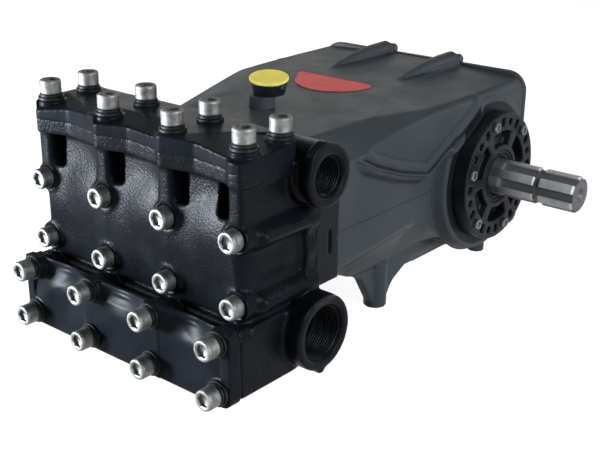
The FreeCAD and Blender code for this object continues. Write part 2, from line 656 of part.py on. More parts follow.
def screw(seat, way):
    """Socket head screw; seat is the underside of the head and way points out of the head."""
    head_height = size("screw_head_height")
    edge = 0.8
    head = Part.makeCylinder(size("screw_head_radius"), head_height, seat, way)
    outer = [rim for rim in head.Edges if rim.Curve.TypeId == "Part::GeomCircle"
             and (rim.Curve.Center - seat).dot(way) > head_height / 2.0]
    head = head.makeChamfer(edge, outer)
    turn = Rotation(UP, way)
    corner_radius = size("socket_width") / math.sqrt(3.0)
    hexagon = []
    for corner in range(7):
        angle = math.radians(60.0 * corner)
        flat = Vector(corner_radius * math.cos(angle), corner_radius * math.sin(angle), 0)
        hexagon.append(seat + turn.multVec(flat) + way * (head_height - size("socket_depth")))
    socket = Part.Face(Part.makePolygon(hexagon)).extrude(way * (size("socket_depth") + 1.0))
    return head.cut(socket)


def washer(seat, way, radius, hole_radius):
    depth = size("washer_depth")
    ring = Part.makeCylinder(radius, depth, seat, way)
    return ring.cut(Part.makeCylinder(hole_radius, depth * 3.0, seat - way * depth, way))


def lock_washer(seat, way):
    """Spring washer with a slanted split."""
    slit = Part.makeBox(1.2, 12.0, 12.0, Vector(-0.6, 0, -6.0))
    slit.rotate(Vector(0, 0, 0), Vector(0, 1, 0), 20.0)
    slit.Placement = Placement(seat, Rotation(UP, way)).multiply(slit.Placement)
    return washer(seat, way, size("lock_washer_radius"), size("screw_shank_radius") + 0.3).cut(slit)


def row(label, maker, rows):
    """One node of like pieces: every screw column, at each seat of the rows."""
    pieces = []
    for seat, way in rows:
        for x in COLUMNS:
            pieces.append(maker(Vector(x, seat.y, seat.z), way))
    return feature(label, Part.makeCompound(pieces))


def flat_washer(seat, way):
    return washer(seat, way, size("washer_radius"), size("screw_shank_radius") + 0.5)


crankcase = feature("crankcase", crankcase_shape())
feature("head_casting", head_shape())
feature("delivery_valve_cover", delivery_cover_shape())
feature("suction_valve_cover", suction_cover_shape())

cover_top = size("joint_z") + size("cover_depth")
cover_face = size("front_cover_face_y")
depth = size("washer_depth")
top_rows = [Vector(0, size("top_front_row_y"), cover_top), Vector(0, size("top_rear_row_y"), cover_top)]
face_rows = [Vector(0, cover_face, size("upper_suction_row_z")),
             Vector(0, cover_face, size("lower_suction_row_z"))]
row("delivery_cover_washers", flat_washer, [(seat, UP) for seat in top_rows])
row("delivery_cover_lock_washers", lock_washer, [(seat + UP * depth, UP) for seat in top_rows])
row("suction_cover_washers", flat_washer, [(seat, FORWARD) for seat in face_rows])
row("suction_cover_lock_washers", lock_washer, [(seat + FORWARD * depth, FORWARD) for seat in face_rows])
row("delivery_cover_screws_front", screw, [(top_rows[0] + UP * depth * 2, UP)])
row("delivery_cover_screws_rear", screw, [(top_rows[1] + UP * depth * 2, UP)])
row("suction_cover_screws_upper", screw, [(face_rows[0] + FORWARD * depth * 2, FORWARD)])
row("suction_cover_screws_lower", screw, [(face_rows[1] + FORWARD * depth * 2, FORWARD)])
row("head_screws_upper", screw, [(Vector(0, size("head_seat_y"), size("upper_head_row_z")), FORWARD)])
row("head_screws_lower", screw, [(Vector(0, size("head_seat_y"), size("lower_head_row_z")), FORWARD)])


# Bodies made from sketches

def new_body(label):
    made = doc.addObject("PartDesign::Body", label)
    made.Label = label
    return made


def origin_item(owner, role):
    for item in owner.Origin.OriginFeatures:
        if item.Role == role:
            return item
    raise ValueError(role)


def new_sketch(owner, role, name, offset=""):
    drawn = owner.newObject("Sketcher::SketchObject", name)
    drawn.AttachmentSupport = [(origin_item(owner, role), "")]
    drawn.MapMode = "FlatFace"
    if offset:
        drawn.setExpression("AttachmentOffset.Base.z", offset)
    return drawn


def draw_circle(sketch, x, y, radius_expression):
    centre = Vector(x, y, 0)
    index = sketch.addGeometry(Part.Circle(centre, UP, 10.0), False)
    number = sketch.addConstraint(Sketcher.Constraint("Radius", index, 10.0))
    sketch.setExpression("Constraints[%d]" % number, radius_expression)


def draw_outline(sketch, points, radii):
    for part in outline_parts(points, radii):
        if len(part) == 3:
            sketch.addGeometry(Part.Arc(*part), False)
        else:
            sketch.addGeometry(Part.LineSegment(*part), False)


def pad(owner, sketch, name, length_expression):
    made = owner.newObject("PartDesign::Pad", name)
    made.Profile = sketch
    made.setExpression("Length", length_expression)
    doc.recompute()
    return made


def pocket(owner, sketch, name, length_expression):
    before = owner.Shape.Volume
    made = owner.newObject("PartDesign::Pocket", name)
    made.Profile = sketch
    made.setExpression("Length", length_expression)
    doc.recompute()
    if made.Shape.Volume > before - 1e-3:
        raise ValueError("%s cuts nothing" % name)
    return made


def polar(owner, original, name, count):
    made = owner.newObject("PartDesign::PolarPattern", name)
    made.Originals = [original]
    made.Axis = (origin_item(owner, "Z_Axis"), [""])
    made.Angle = 360
    made.Occurrences = count
    owner.Tip = made
    doc.recompute()
    return made


def on_crank(owner, x_expression, turn):
    """Moves a body drawn around its own Z axis onto the crankshaft axis."""
    owner.Placement = Placement(Vector(0, 0, 0), Rotation(Vector(0, 1, 0), turn))
    owner.setExpression("Placement.Base.x", x_expression)
    owner.setExpression("Placement.Base.y", "Sizes.crank_y")
    owner.setExpression("Placement.Base.z", "Sizes.crank_z")


# Bearing covers

SPOKES = 6


def at_angle(radius, degrees):
    angle = math.radians(degrees)
    return Vector(radius * math.cos(angle), radius * math.sin(angle), 0)


def draw_sector(sketch, inner, outer, middle, span):
    """Piece of a ring: two radial sides and two arcs, angles in degrees."""
    corners = [at_angle(inner, middle - span), at_angle(outer, middle - span),
               at_angle(outer, middle + span), at_angle(inner, middle + span)]
    sketch.addGeometry(Part.LineSegment(corners[0], corners[1]), False)
    sketch.addGeometry(Part.Arc(corners[1], at_angle(outer, middle), corners[2]), False)
    sketch.addGeometry(Part.LineSegment(corners[2], corners[3]), False)
    sketch.addGeometry(Part.Arc(corners[3], at_angle(inner, middle), corners[0]), False)


def bearing_cover(label, bored, x_expression, turn, spin):
    """Round cover with a hub on six spokes; between the screws its rim has three core holes."""
    cover = new_body(label)
    disc = new_sketch(cover, "XY_Plane", label + "_disc")
    draw_circle(disc, 0, 0, "Sizes.bearing_cover_radius")
    if bored:
        draw_circle(disc, 0, 0, "Sizes.seal_radius")
    pad(cover, disc, label + "_plate", "Sizes.bearing_cover_depth")
    floor = 3.5
    inner = size("bearing_hub_radius")
    middle = inner + 7.0
    outer = size("bearing_window_radius")
    for name, low, high, depth in (("step", inner, middle, "Sizes.bearing_cover_depth - %g" % (floor + 4.0)),
                                   ("floor", middle, outer, "Sizes.bearing_cover_depth - %g" % floor)):
        window = new_sketch(cover, "XY_Plane", "%s_window_%s" % (label, name), "Sizes.bearing_cover_depth")
        draw_sector(window, low, high, 90.0 + 180.0 / SPOKES, 22.5)
        cut = pocket(cover, window, "%s_hollow_%s" % (label, name), depth)
        polar(cover, cut, "%s_hollows_%s" % (label, name), SPOKES)
    circle = size("bearing_screw_circle")
    gap_middle = 90.0 - spin * size("bearing_screw_turn") + 180.0 / SPOKES
    side_turn = 14.5
    half_height = 4.3
    holes = new_sketch(cover, "XY_Plane", label + "_rim_holes", "Sizes.bearing_cover_depth")
    centre = at_angle(circle, gap_middle)
    holes.addGeometry(Part.Circle(centre, UP, 3.4), False)
    for step in (-side_turn, side_turn):
        hole_middle = gap_middle + step
        wide = at_angle(circle - half_height, hole_middle - 3.4)
        corner_points = [wide, at_angle(circle + half_height, hole_middle - 3.4),
                         at_angle(circle + half_height, hole_middle + 3.4),
                         at_angle(circle - half_height, hole_middle + 3.4)]
        draw_outline(holes, [(point.x, point.y) for point in corner_points], [1.2] * 4)
    hole_cut = pocket(cover, holes, label + "_rim_hollow", "4.5")
    polar(cover, hole_cut, label + "_rim_hollows", SPOKES)
    on_crank(cover, x_expression, turn)
    return cover


bearing_cover("bearing_cover_right", True, "Sizes.drum_half_width", 90, 1)
bearing_cover("bearing_cover_left", False, "-Sizes.drum_half_width", -90, -1)


def bearing_screws(label, way):
    """Socket head screws, sunk to most of their height in the cover's rim."""
    screws = []
    outer = size("drum_half_width") + size("bearing_cover_depth")
    for number in range(SPOKES):
        angle = math.radians(360.0 / SPOKES * number - size("bearing_screw_turn"))
        radial = Vector(0, math.cos(angle), math.sin(angle)) * size("bearing_screw_circle")
        seat = CRANK + way * outer + radial
        head = Part.makeCylinder(4.9, 3.2, seat, way)
        head = head.makeChamfer(0.7, [rim for rim in head.Edges if (rim.CenterOfMass - seat).dot(way) > 3.0])
        screws.append(head.cut(Part.makeCylinder(2.4, 3.0, seat + way * 1.2, way)))
    return feature(label, Part.makeCompound(screws))


bearing_screws("bearing_cover_screws_right", RIGHT)
bearing_screws("bearing_cover_screws_left", RIGHT * -1.0)

seal = new_body("shaft_seal")
seal_ring = new_sketch(seal, "XY_Plane", "seal_ring")
draw_circle(seal_ring, 0, 0, "Sizes.seal_radius")
draw_circle(seal_ring, 0, 0, "Sizes.journal_radius + Sizes.running_clearance")
pad(seal, seal_ring, "seal_body", "Sizes.seal_depth")
on_crank(seal, "Sizes.drum_half_width + Sizes.bearing_cover_depth - Sizes.seal_depth - 1", 90)


# Crankshaft stub

def draw_shaft_profile(sketch):
    journal = size("journal_radius")
    outer = size("spline_radius")
    length = size("shaft_end_x") - size("journal_end_x")
    journal_end = size("journal_length")
    groove = length - size("groove_from_end")
    floor = size("spline_root_radius") - 0.2
    hole = size("centre_hole_radius")
    points = [(0, 0), (journal, 0), (journal, journal_end), (outer, journal_end + 2.0), (outer, groove - 3.5),
              (floor, groove - 2.0), (floor, groove + 2.0), (outer, groove + 3.5), (outer, length - 2.0),
              (outer - 2.0, length), (hole, length), (hole - 3.0, length - 5.0), (0, length - 8.0)]
    draw_outline(sketch, points, [0] * len(points))


shaft = new_body("crankshaft")
profile = new_sketch(shaft, "XZ_Plane", "shaft_profile")
draw_shaft_profile(profile)
turned = shaft.newObject("PartDesign::Revolution", "shaft_turned")
turned.Profile = profile
turned.ReferenceAxis = (profile, ["V_Axis"])
turned.Angle = 360
doc.recompute()
gap = new_sketch(shaft, "XY_Plane", "spline_gap", "Sizes.shaft_end_x - Sizes.journal_end_x")
root = size("spline_root_radius")
gap_half = 16.0
clear = 25.0
gap_corners = [at_angle(root, -gap_half), at_angle(clear, -gap_half),
               at_angle(clear, gap_half), at_angle(root, gap_half)]
draw_outline(gap, [(corner.x, corner.y) for corner in gap_corners], [0] * 4)
spline_cut = pocket(shaft, gap, "spline_gap_cut", "Sizes.spline_length")
polar(shaft, spline_cut, "spline_gaps", SPOKES)
on_crank(shaft, "Sizes.journal_end_x", 90)


# Rear cover

rear_body = new_body("rear_cover")
rear_at = "-(Sizes.case_rear_y + Sizes.rear_cover_depth)"
rear_plate = new_sketch(rear_body, "XZ_Plane", "rear_plate_outline", rear_at)
draw_outline(rear_plate, *rear_outline(size("rear_cover_top_z")))
pad(rear_body, rear_plate, "rear_plate", "Sizes.rear_cover_depth")
rear_lugs = new_sketch(rear_body, "XZ_Plane", "rear_lug_outline", rear_at)
for x in (-size("fin_x"), size("fin_x")):
    draw_circle(rear_lugs, x, size("fin_z") - 0.8, "Sizes.rear_lug_radius")
pad(rear_body, rear_lugs, "rear_lugs", "Sizes.rear_cover_depth")

bolts = []
rear_face = size("case_rear_y") + size("rear_cover_depth")
SIDE_BOLTS = [(-114.0, 150.0), (114.0, 150.0), (-114.0, 95.0), (114.0, 95.0), (-104.0, 44.0), (104.0, 44.0),
              (0.0, 28.0)]
lug_z = size("fin_z") - 0.8
for x, z in SIDE_BOLTS + [(-size("fin_x"), lug_z), (size("fin_x"), lug_z)]:
    bolts.append(rod(5.5, Vector(x, rear_face, z), Vector(x, rear_face + 7.0, z)))
feature("rear_cover_screws", Part.makeCompound(bolts))


# Oil filler

collar_at = Vector(-1.0, -151.5, 0)
collar_top = size("collar_top_z")
collar = rod(size("collar_radius"), collar_at + UP * 180.0, collar_at + UP * collar_top)
feature("oil_filler_collar", collar.cut(crankcase.Shape))

cap_tilt = math.radians(9.0)
cap_way = Vector(0.64 * math.sin(cap_tilt), -0.77 * math.sin(cap_tilt), math.cos(cap_tilt)).normalize()
cap_centre = Vector(0.5, -144.0, 213.0)
cap_radius = size("cap_radius")
cap_drop = 20.0
cap_foot = cap_centre - cap_way * cap_drop
cap_body = Part.makeCone(cap_radius - 4.6, cap_radius - 0.8, cap_drop, cap_foot, cap_way)
cap_tab = box(cap_radius - 2.0, cap_radius + 2.2, -147.5, -143.5, 206.0, 210.5)
cap_body = cap_body.fuse(cap_tab).cut(box(-40, 40, -190, -100, 150, collar_top))
feature("oil_cap_body", cap_body)
cap_top = Part.makeCylinder(cap_radius, 2.6, cap_centre, cap_way)
cap_top = cap_top.makeFillet(0.9, [rim for rim in cap_top.Edges
                                   if (rim.CenterOfMass - cap_centre).dot(cap_way) > 2.0
                                   and rim.Curve.TypeId == "Part::GeomCircle"])
feature("oil_cap_top", cap_top)


# Blank badge on the roof

def badge_shape():
    """Leaf outline on the roof, standing up a little all over."""
    z = 180.0
    front = [Vector(38, -48, z), Vector(6, -79, z), Vector(-43, -54, z)]
    left = [Vector(-53, -40.5, z), Vector(-54, -36.5, z), Vector(-50, -34, z)]
    right = [Vector(28, -34, z), Vector(36, -38, z), front[0]]
    edges = [Part.Arc(*front).toShape(), Part.makeLine(front[2], left[0]), Part.Arc(*left).toShape(),
             Part.makeLine(left[2], right[0]), Part.Arc(*right).toShape()]
    stick_out = 0.8
    cover = crankcase.Shape.copy()
    cover.translate(UP * stick_out)
    return Part.Face(Part.Wire(edges)).extrude(UP * 30.0).common(cover).cut(crankcase.Shape)


feature("blank_badge", badge_shape())

doc.recompute()

NODES = [item for item in doc.Objects
         if item.isDerivedFrom("PartDesign::Body") or item.TypeId == "Part::Feature"]
NODES = [item for item in NODES if item.getParentGeoFeatureGroup() is None]

for item in doc.Objects:
    for state in ("Invalid", "Error"):
        if state in item.State:
            raise ValueError("%s is %s" % (item.Label, state))
for node in NODES:
    if node.Shape.isNull() or not node.Shape.isValid():
        raise ValueError("%s has a bad shape" % node.Label)

os.makedirs("parts", exist_ok=True)
for node in NODES:
    node.Shape.exportStep("parts/%s.step" % node.Label)
    print(node.Label, len(node.Shape.Solids), round(node.Shape.Volume / 1000.0, 1))
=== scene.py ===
import math

import bmesh
import bpy
from mathutils import Matrix, Vector


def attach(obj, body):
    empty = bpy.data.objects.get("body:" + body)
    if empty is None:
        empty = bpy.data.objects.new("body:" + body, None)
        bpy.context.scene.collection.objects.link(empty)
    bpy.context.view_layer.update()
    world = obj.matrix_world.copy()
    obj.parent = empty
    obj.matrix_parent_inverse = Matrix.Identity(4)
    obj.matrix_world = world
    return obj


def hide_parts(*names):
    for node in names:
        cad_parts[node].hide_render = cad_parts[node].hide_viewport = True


# Triplex plunger pump: cast crankcase and head in black paint, zinc screws, a splined steel shaft.
# Every piece is made in its place. Sizes are in millimetres where a comment names no other unit.

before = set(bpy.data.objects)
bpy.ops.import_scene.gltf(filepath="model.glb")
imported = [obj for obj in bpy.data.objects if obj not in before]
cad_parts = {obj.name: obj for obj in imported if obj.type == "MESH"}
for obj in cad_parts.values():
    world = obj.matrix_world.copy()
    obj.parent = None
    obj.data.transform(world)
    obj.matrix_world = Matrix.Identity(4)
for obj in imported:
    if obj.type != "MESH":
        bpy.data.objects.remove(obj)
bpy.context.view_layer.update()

MM = 0.001
TAU = 2.0 * math.pi
X = Vector((1, 0, 0))
Y = Vector((0, 1, 0))
Z = Vector((0, 0, 1))
BODY = "body"
SHAFT = "shaft"

# Sizes of the real pump

PITCH = 75.0
COLUMNS = [step * PITCH for step in (-1.5, -0.5, 0.5, 1.5)]
CRANK = Vector((0, 31.0, 109.5))
COVER_TOP_Z = 205.1
COVER_FACE_Y = -329.5
TOP_ROWS = (-297.2, -256.3)
SUCTION_ROWS = (58.8, 16.5)
HEAD_ROWS = (137.0, 82.5)
HEAD_SEAT_Y = -306.5
WASHER_DEPTH = 2.5
FLAT_WASHER_RADII = (11.0, 6.5)
LOCK_WASHER_RADII = (9.6, 6.3)
PORT_FACE_X = 142.5
PARTING_Z = 109.5
INLET = (-236.2, 41.8)
OUTLET = (-232.8, 174.3)


# Camera, solved from the screw grids of the head

CAMERA_PLACE = Vector((615.13, -834.27, 427.64))
CAMERA_AZIMUTH = math.radians(39.894)
CAMERA_ELEVATION = math.radians(20.969)
CAMERA_ROLL = math.radians(0.499)
SENSOR_WIDTH = 36.0
LENS = 63.06
FAR_CLIP_M = 20.0


def make_camera():
    """The photograph's viewpoint."""
    data = bpy.data.cameras.new("camera")
    data.sensor_fit = "HORIZONTAL"
    data.sensor_width = SENSOR_WIDTH
    data.lens = LENS
    data.clip_end = FAR_CLIP_M
    camera = bpy.data.objects.new("camera", data)
    bpy.context.scene.collection.objects.link(camera)
    level = Vector((math.cos(CAMERA_AZIMUTH), math.sin(CAMERA_AZIMUTH), 0))
    outward = Vector((math.sin(CAMERA_AZIMUTH), -math.cos(CAMERA_AZIMUTH), 0))
    back = outward * math.cos(CAMERA_ELEVATION) + Z * math.sin(CAMERA_ELEVATION)
    upright = back.cross(level)
    right = level * math.cos(CAMERA_ROLL) + upright * math.sin(CAMERA_ROLL)
    up = upright * math.cos(CAMERA_ROLL) - level * math.sin(CAMERA_ROLL)
    turn = Matrix((right, up, back)).transposed().to_4x4()
    camera.matrix_world = Matrix.Translation(CAMERA_PLACE * MM) @ turn
    bpy.context.scene.camera = camera


# Light and floor, in metres and watts

COOL = (0.90, 0.95, 1.0)
SOFTBOX_TARGET = Vector((0.0, -0.1, 0.1))
SOFTBOXES = (
    # name, place, width and height, power, colour
    ("top_softbox", (-0.3, -0.1, 1.6), (0.7, 0.7), 3.0, (1.0, 1.0, 0.97)),
    ("low_softbox", (-0.72, -1.12, 0.14), (0.3, 0.2), 46.0, (0.84, 0.90, 1.0)),
    ("high_softbox", (-0.84, -0.97, 0.81), (0.5, 0.5), 9.0, COOL),
    ("back_softbox", (-0.96, 1.05, 0.70), (1.0, 0.8), 2.4, (1.0, 1.0, 0.96)),
    ("rear_softbox", (0.80, 1.08, 0.82), (0.6, 0.45), 4.5, COOL),
    ("right_softbox", (1.50, -0.30, 0.62), (0.9, 0.7), 33.0, (0.88, 0.94, 1.0)),
)
SKY_STRENGTH = 0.14
SWEEP_FALL = (0.12, 0.34)
SWEEP_WHITE = 1.0
CEILING_GREY = 0.06
FLOOR_HALF = 6.0
FLOOR_ALBEDO = 0.2
FLOOR_GLOW = 0.94


def add_softbox(name, place, size, power, colour):
    data = bpy.data.lights.new(name, "AREA")
    data.shape = "RECTANGLE"
    data.size, data.size_y = size
    data.energy = power
    data.color = colour
    lamp = bpy.data.objects.new(name, data)
    bpy.context.scene.collection.objects.link(lamp)
    lamp.location = place
    lamp.rotation_mode = "QUATERNION"
    lamp.rotation_quaternion = (SOFTBOX_TARGET - Vector(place)).to_track_quat("-Z", "Y")
    lamp.visible_camera = False


def make_studio():
    for softbox in SOFTBOXES:
        add_softbox(*softbox)
    world = bpy.data.worlds.new("studio")
    bpy.context.scene.world = world
    world.use_nodes = True
    nodes = world.node_tree.nodes
    links = world.node_tree.links
    nodes.clear()
    sky = nodes.new("ShaderNodeBackground")
    sky.inputs["Color"].default_value = (*COOL, 1)
    sky.inputs["Strength"].default_value = SKY_STRENGTH
    sweep = nodes.new("ShaderNodeBackground")
    links.new(sweep_colour(nodes, links), sweep.inputs["Color"])
    mixed = mix_by_ray(nodes, links, sky.outputs["Background"], sweep.outputs["Background"])
    out = nodes.new("ShaderNodeOutputWorld")
    links.new(mixed, out.inputs["Surface"])


def sweep_colour(nodes, links):
    """A white sweep up to a little above the horizon, and a dark ceiling over it."""
    split = nodes.new("ShaderNodeSeparateXYZ")
    links.new(nodes.new("ShaderNodeTexCoord").outputs["Generated"], split.inputs["Vector"])
    fall = nodes.new("ShaderNodeMapRange")
    fall.interpolation_type = "SMOOTHSTEP"
    fall.inputs["From Min"].default_value = SWEEP_FALL[0]
    fall.inputs["From Max"].default_value = SWEEP_FALL[1]
    fall.inputs["To Min"].default_value = SWEEP_WHITE
    fall.inputs["To Max"].default_value = CEILING_GREY
    links.new(split.outputs["Z"], fall.inputs["Value"])
    return fall.outputs["Result"]


def mix_by_ray(nodes, links, lighting, shown):
    """One shader for the rays that light the object, another for those that show it or are mirrored."""
    path = nodes.new("ShaderNodeLightPath")
    largest = path.outputs["Is Camera Ray"]
    for kind in ("Is Glossy Ray", "Is Transmission Ray"):
        node = nodes.new("ShaderNodeMath")
        node.operation = "MAXIMUM"
        links.new(largest, node.inputs[0])
        links.new(path.outputs[kind], node.inputs[1])
        largest = node.outputs["Value"]
    mix = nodes.new("ShaderNodeMixShader")
    links.new(largest, mix.inputs["Fac"])
    links.new(lighting, mix.inputs[1])
    links.new(shown, mix.inputs[2])
    return mix.outputs["Shader"]


def make_floor():
    half = FLOOR_HALF
    corners = [(-half, -half, 0), (half, -half, 0), (half, half, 0), (-half, half, 0)]
    mesh = bpy.data.meshes.new("floor")
    mesh.from_pydata(corners, [], [(0, 1, 2, 3)])
    floor = bpy.data.objects.new("floor", mesh)
    bpy.context.scene.collection.objects.link(floor)
    material = bpy.data.materials.new("floor_white")
    material.use_nodes = True
    nodes = material.node_tree.nodes
    links = material.node_tree.links
    nodes.clear()
    diffuse = nodes.new("ShaderNodeBsdfDiffuse")
    diffuse.inputs["Color"].default_value = (FLOOR_ALBEDO, FLOOR_ALBEDO, FLOOR_ALBEDO, 1)
    glow = nodes.new("ShaderNodeEmission")
    glow.inputs["Color"].default_value = (1, 1, 1, 1)
    glow.inputs["Strength"].default_value = FLOOR_GLOW
    dark = nodes.new("ShaderNodeEmission")
    dark.inputs["Strength"].default_value = 0.0
    mixed = mix_by_ray(nodes, links, dark.outputs["Emission"], glow.outputs["Emission"])
    add = nodes.new("ShaderNodeAddShader")
    links.new(diffuse.outputs["BSDF"], add.inputs[0])
    links.new(mixed, add.inputs[1])
    out = nodes.new("ShaderNodeOutputMaterial")
    links.new(add.outputs["Shader"], out.inputs["Surface"])
    mesh.materials.append(material)


# Materials

RAMP_ENDS = (0.35, 0.65)


class Finish:
    """A Principled material with helpers for procedural detail, in object coordinates."""

    def __init__(self, name):
        self.material = bpy.data.materials.new(name)
        self.material.use_nodes = True
        self.nodes = self.material.node_tree.nodes
        self.links = self.material.node_tree.links
        self.shader = self.nodes["Principled BSDF"]
        self.place = self.nodes.new("ShaderNodeTexCoord").outputs["Object"]

    def set(self, **values):
        for key, value in values.items():
            self.shader.inputs[key.replace("_", " ")].default_value = value

    def noise(self, size, detail=3.0, squeeze=None):
        """Noise whose blobs are about size across, or thinner along each axis by the factors of squeeze."""
        node = self.nodes.new("ShaderNodeTexNoise")
        node.inputs["Scale"].default_value = 1.0 / (size * MM)
        node.inputs["Detail"].default_value = detail
        source = self.place
        if squeeze:
            scaled = self.nodes.new("ShaderNodeVectorMath")
            scaled.operation = "MULTIPLY"
            scaled.inputs[1].default_value = squeeze
            self.links.new(source, scaled.inputs[0])
            source = scaled.outputs["Vector"]
        self.links.new(source, node.inputs["Vector"])
        return node.outputs["Fac"]

    def ramp(self, source, dark, light):
        """From dark to light over the middle of the noise's range."""
        node = self.nodes.new("ShaderNodeValToRGB")
        for element, place, colour in zip(node.color_ramp.elements, RAMP_ENDS, (dark, light)):
            element.position = place
            element.color = (*colour, 1)
        self.links.new(source, node.inputs["Fac"])
        return node.outputs["Color"]

    def span(self, source, low, high, low_at=0.3, high_at=0.7):
        """From low to high while the source goes from low_at to high_at."""
        node = self.nodes.new("ShaderNodeMapRange")
        node.inputs["From Min"].default_value = low_at
        node.inputs["From Max"].default_value = high_at
        node.inputs["To Min"].default_value = low
        node.inputs["To Max"].default_value = high
        self.links.new(source, node.inputs["Value"])
        return node.outputs["Result"]

    def math(self, operation, first, second=0.0):
        node = self.nodes.new("ShaderNodeMath")
        node.operation = operation
        for socket, value in zip(node.inputs, (first, second)):
            if isinstance(value, float):
                socket.default_value = value
            else:
                self.links.new(value, socket)
        return node.outputs["Value"]

    def mix(self, factor, first, second):
        node = self.nodes.new("ShaderNodeMix")
        node.data_type = "RGBA"
        self.links.new(factor, node.inputs["Factor"])
        for socket, value in ((node.inputs[6], first), (node.inputs[7], second)):
            if isinstance(value, tuple):
                socket.default_value = (*value, 1)
            else:
                self.links.new(value, socket)
        return node.outputs[2]

    def axes(self):
        node = self.nodes.new("ShaderNodeSeparateXYZ")
        self.links.new(self.place, node.inputs["Vector"])
        return node.outputs["X"], node.outputs["Y"], node.outputs["Z"]

    def pointiness(self):
        return self.nodes.new("ShaderNodeNewGeometry").outputs["Pointiness"]

    def bump(self, height, depth, strength):
        node = self.nodes.new("ShaderNodeBump")
        node.inputs["Strength"].default_value = strength
        node.inputs["Distance"].default_value = depth * MM
        self.links.new(height, node.inputs["Height"])
        previous = self.shader.inputs["Normal"].links
        if previous:
            self.links.new(previous[0].from_socket, node.inputs["Normal"])
        self.links.new(node.outputs["Normal"], self.shader.inputs["Normal"])

    def colour(self, source):
        self.links.new(source, self.shader.inputs["Base Color"])

    def rough(self, source):
        self.links.new(source, self.shader.inputs["Roughness"])


# Where each mask starts and ends. Widths, radii and places are in metres.

EDGE_POINTINESS = (0.56, 0.68)
WORN_PATCHES = (0.35, 0.6)
CORNER_POINTINESS = (0.465, 0.490)
GRAZING = (0.68, 0.86)
SHEEN = (0.5, 0.03)
HOUSING_RADIUS = (0.0700, 0.0712)
HOUSING_FACE_X = (0.1262, 0.1272)
SEAM_WIDTH = (0.00025, 0.0006)
SEAM_SIDE_X = (0.112, 0.114)
SEAM_END_Y = (-0.050, -0.048)
SEAM_STRENGTH = 0.7
FLANGE_Y = (-0.1990, -0.1982)
# where the painted shade on the shaft next to the seal fades out
SEAL_SHADE_X = (0.148, 0.172)
SPLINE_FLOOR_RADIUS = (0.0152, 0.0166)

# painted shade in inner corners and grooves
CORNER_SHADE_TONE = (0.010, 0.012, 0.015)
# the flange's darker paint, and the painted shadow around the bearing covers
BLACK_PAINT_AND_SHADOW = (0.006, 0.007, 0.009)
SEAM = (0.008, 0.009, 0.011)
# painted shade on the shaft near the seal
SEAL_SHADE_STEEL = (0.07, 0.07, 0.073)
# painted shade on the floors between the splines
SPLINE_FLOOR_SHADE = (0.08, 0.08, 0.083)

PATCH_SIZE = 6.0


def edge_wear(finish, base, worn):
    """Slightly lighter paint on outer edges, broken up by noise."""
    edges = finish.span(finish.pointiness(), 0.0, 1.0, *EDGE_POINTINESS)
    patches = finish.span(finish.noise(PATCH_SIZE), 0.0, 1.0, *WORN_PATCHES)
    return finish.mix(finish.math("MULTIPLY", edges, patches), base, worn)


def calm_grazing(finish):
    """Textured paint loses its sheen where it is seen almost edge on."""
    weight = finish.nodes.new("ShaderNodeLayerWeight")
    weight.inputs["Blend"].default_value = 0.5
    level = finish.span(weight.outputs["Facing"], *SHEEN, *GRAZING)
    finish.links.new(level, finish.shader.inputs["Specular IOR Level"])


def painted_corner_shade(finish):
    """1 in inner corners and grooves, where the paint is darkened as painted shade."""
    return finish.span(finish.pointiness(), 1.0, 0.0, *CORNER_POINTINESS)


def crank_radius(finish):
    """Distance from the crank axis, in metres."""
    y, z = finish.axes()[1:]
    across = finish.math("SUBTRACT", y, CRANK.y * MM)
    up = finish.math("SUBTRACT", z, CRANK.z * MM)
    squares = [finish.math("MULTIPLY", off, off) for off in (across, up)]
    return finish.math("SQRT", finish.math("ADD", *squares))


def around_crank(finish):
    """1 on the faces of the bearing housings around the bearing covers, darkened there as a painted shadow
    of the gap round each cover.
    """
    near = finish.span(crank_radius(finish), 1.0, 0.0, *HOUSING_RADIUS)
    face = finish.span(finish.math("ABSOLUTE", finish.axes()[0]), 0.0, 1.0, *HOUSING_FACE_X)
    return finish.math("MULTIPLY", near, face)


def parting_line(finish):
    """1 on the fine line where the two halves of the mould met, along the sides."""
    x, y, z = finish.axes()
    off = finish.math("ABSOLUTE", finish.math("SUBTRACT", z, PARTING_Z * MM))
    line = finish.span(off, SEAM_STRENGTH, 0.0, *SEAM_WIDTH)
    side = finish.span(finish.math("ABSOLUTE", x), 0.0, 1.0, *SEAM_SIDE_X)
    length = finish.span(y, 1.0, 0.0, *SEAM_END_Y)
    return finish.math("MULTIPLY", finish.math("MULTIPLY", line, side), length)


def crankcase_marks_and_shade(finish, tone):
    """Painted shade in the corners, painted shadow on the housing faces around the covers, a darker flange,
    and the parting line.
    """
    calm_grazing(finish)
    # painted shade in the inner corners and grooves
    tone = finish.mix(painted_corner_shade(finish), tone, CORNER_SHADE_TONE)
    # painted shadow on the housing faces around the bearing covers
    tone = finish.mix(around_crank(finish), tone, BLACK_PAINT_AND_SHADOW)
    # darker paint on the flange
    flange = finish.span(finish.axes()[1], 1.0, 0.0, *FLANGE_Y)
    tone = finish.mix(flange, tone, BLACK_PAINT_AND_SHADOW)
    return finish.mix(parting_line(finish), tone, SEAM)


def shaft_painted_shade(finish, tone):
    """Painted shade on the shaft next to the seal and cover, and on the floors between the splines."""
    # painted shade on the shaft next to the seal and cover
    tone = finish.mix(finish.span(finish.axes()[0], 1.0, 0.0, *SEAL_SHADE_X), tone, SEAL_SHADE_STEEL)
    # painted shade on the floors between the splines
    floor_shade = finish.span(crank_radius(finish), 1.0, 0.0, *SPLINE_FLOOR_RADIUS)
    return finish.mix(floor_shade, tone, SPLINE_FLOOR_SHADE)


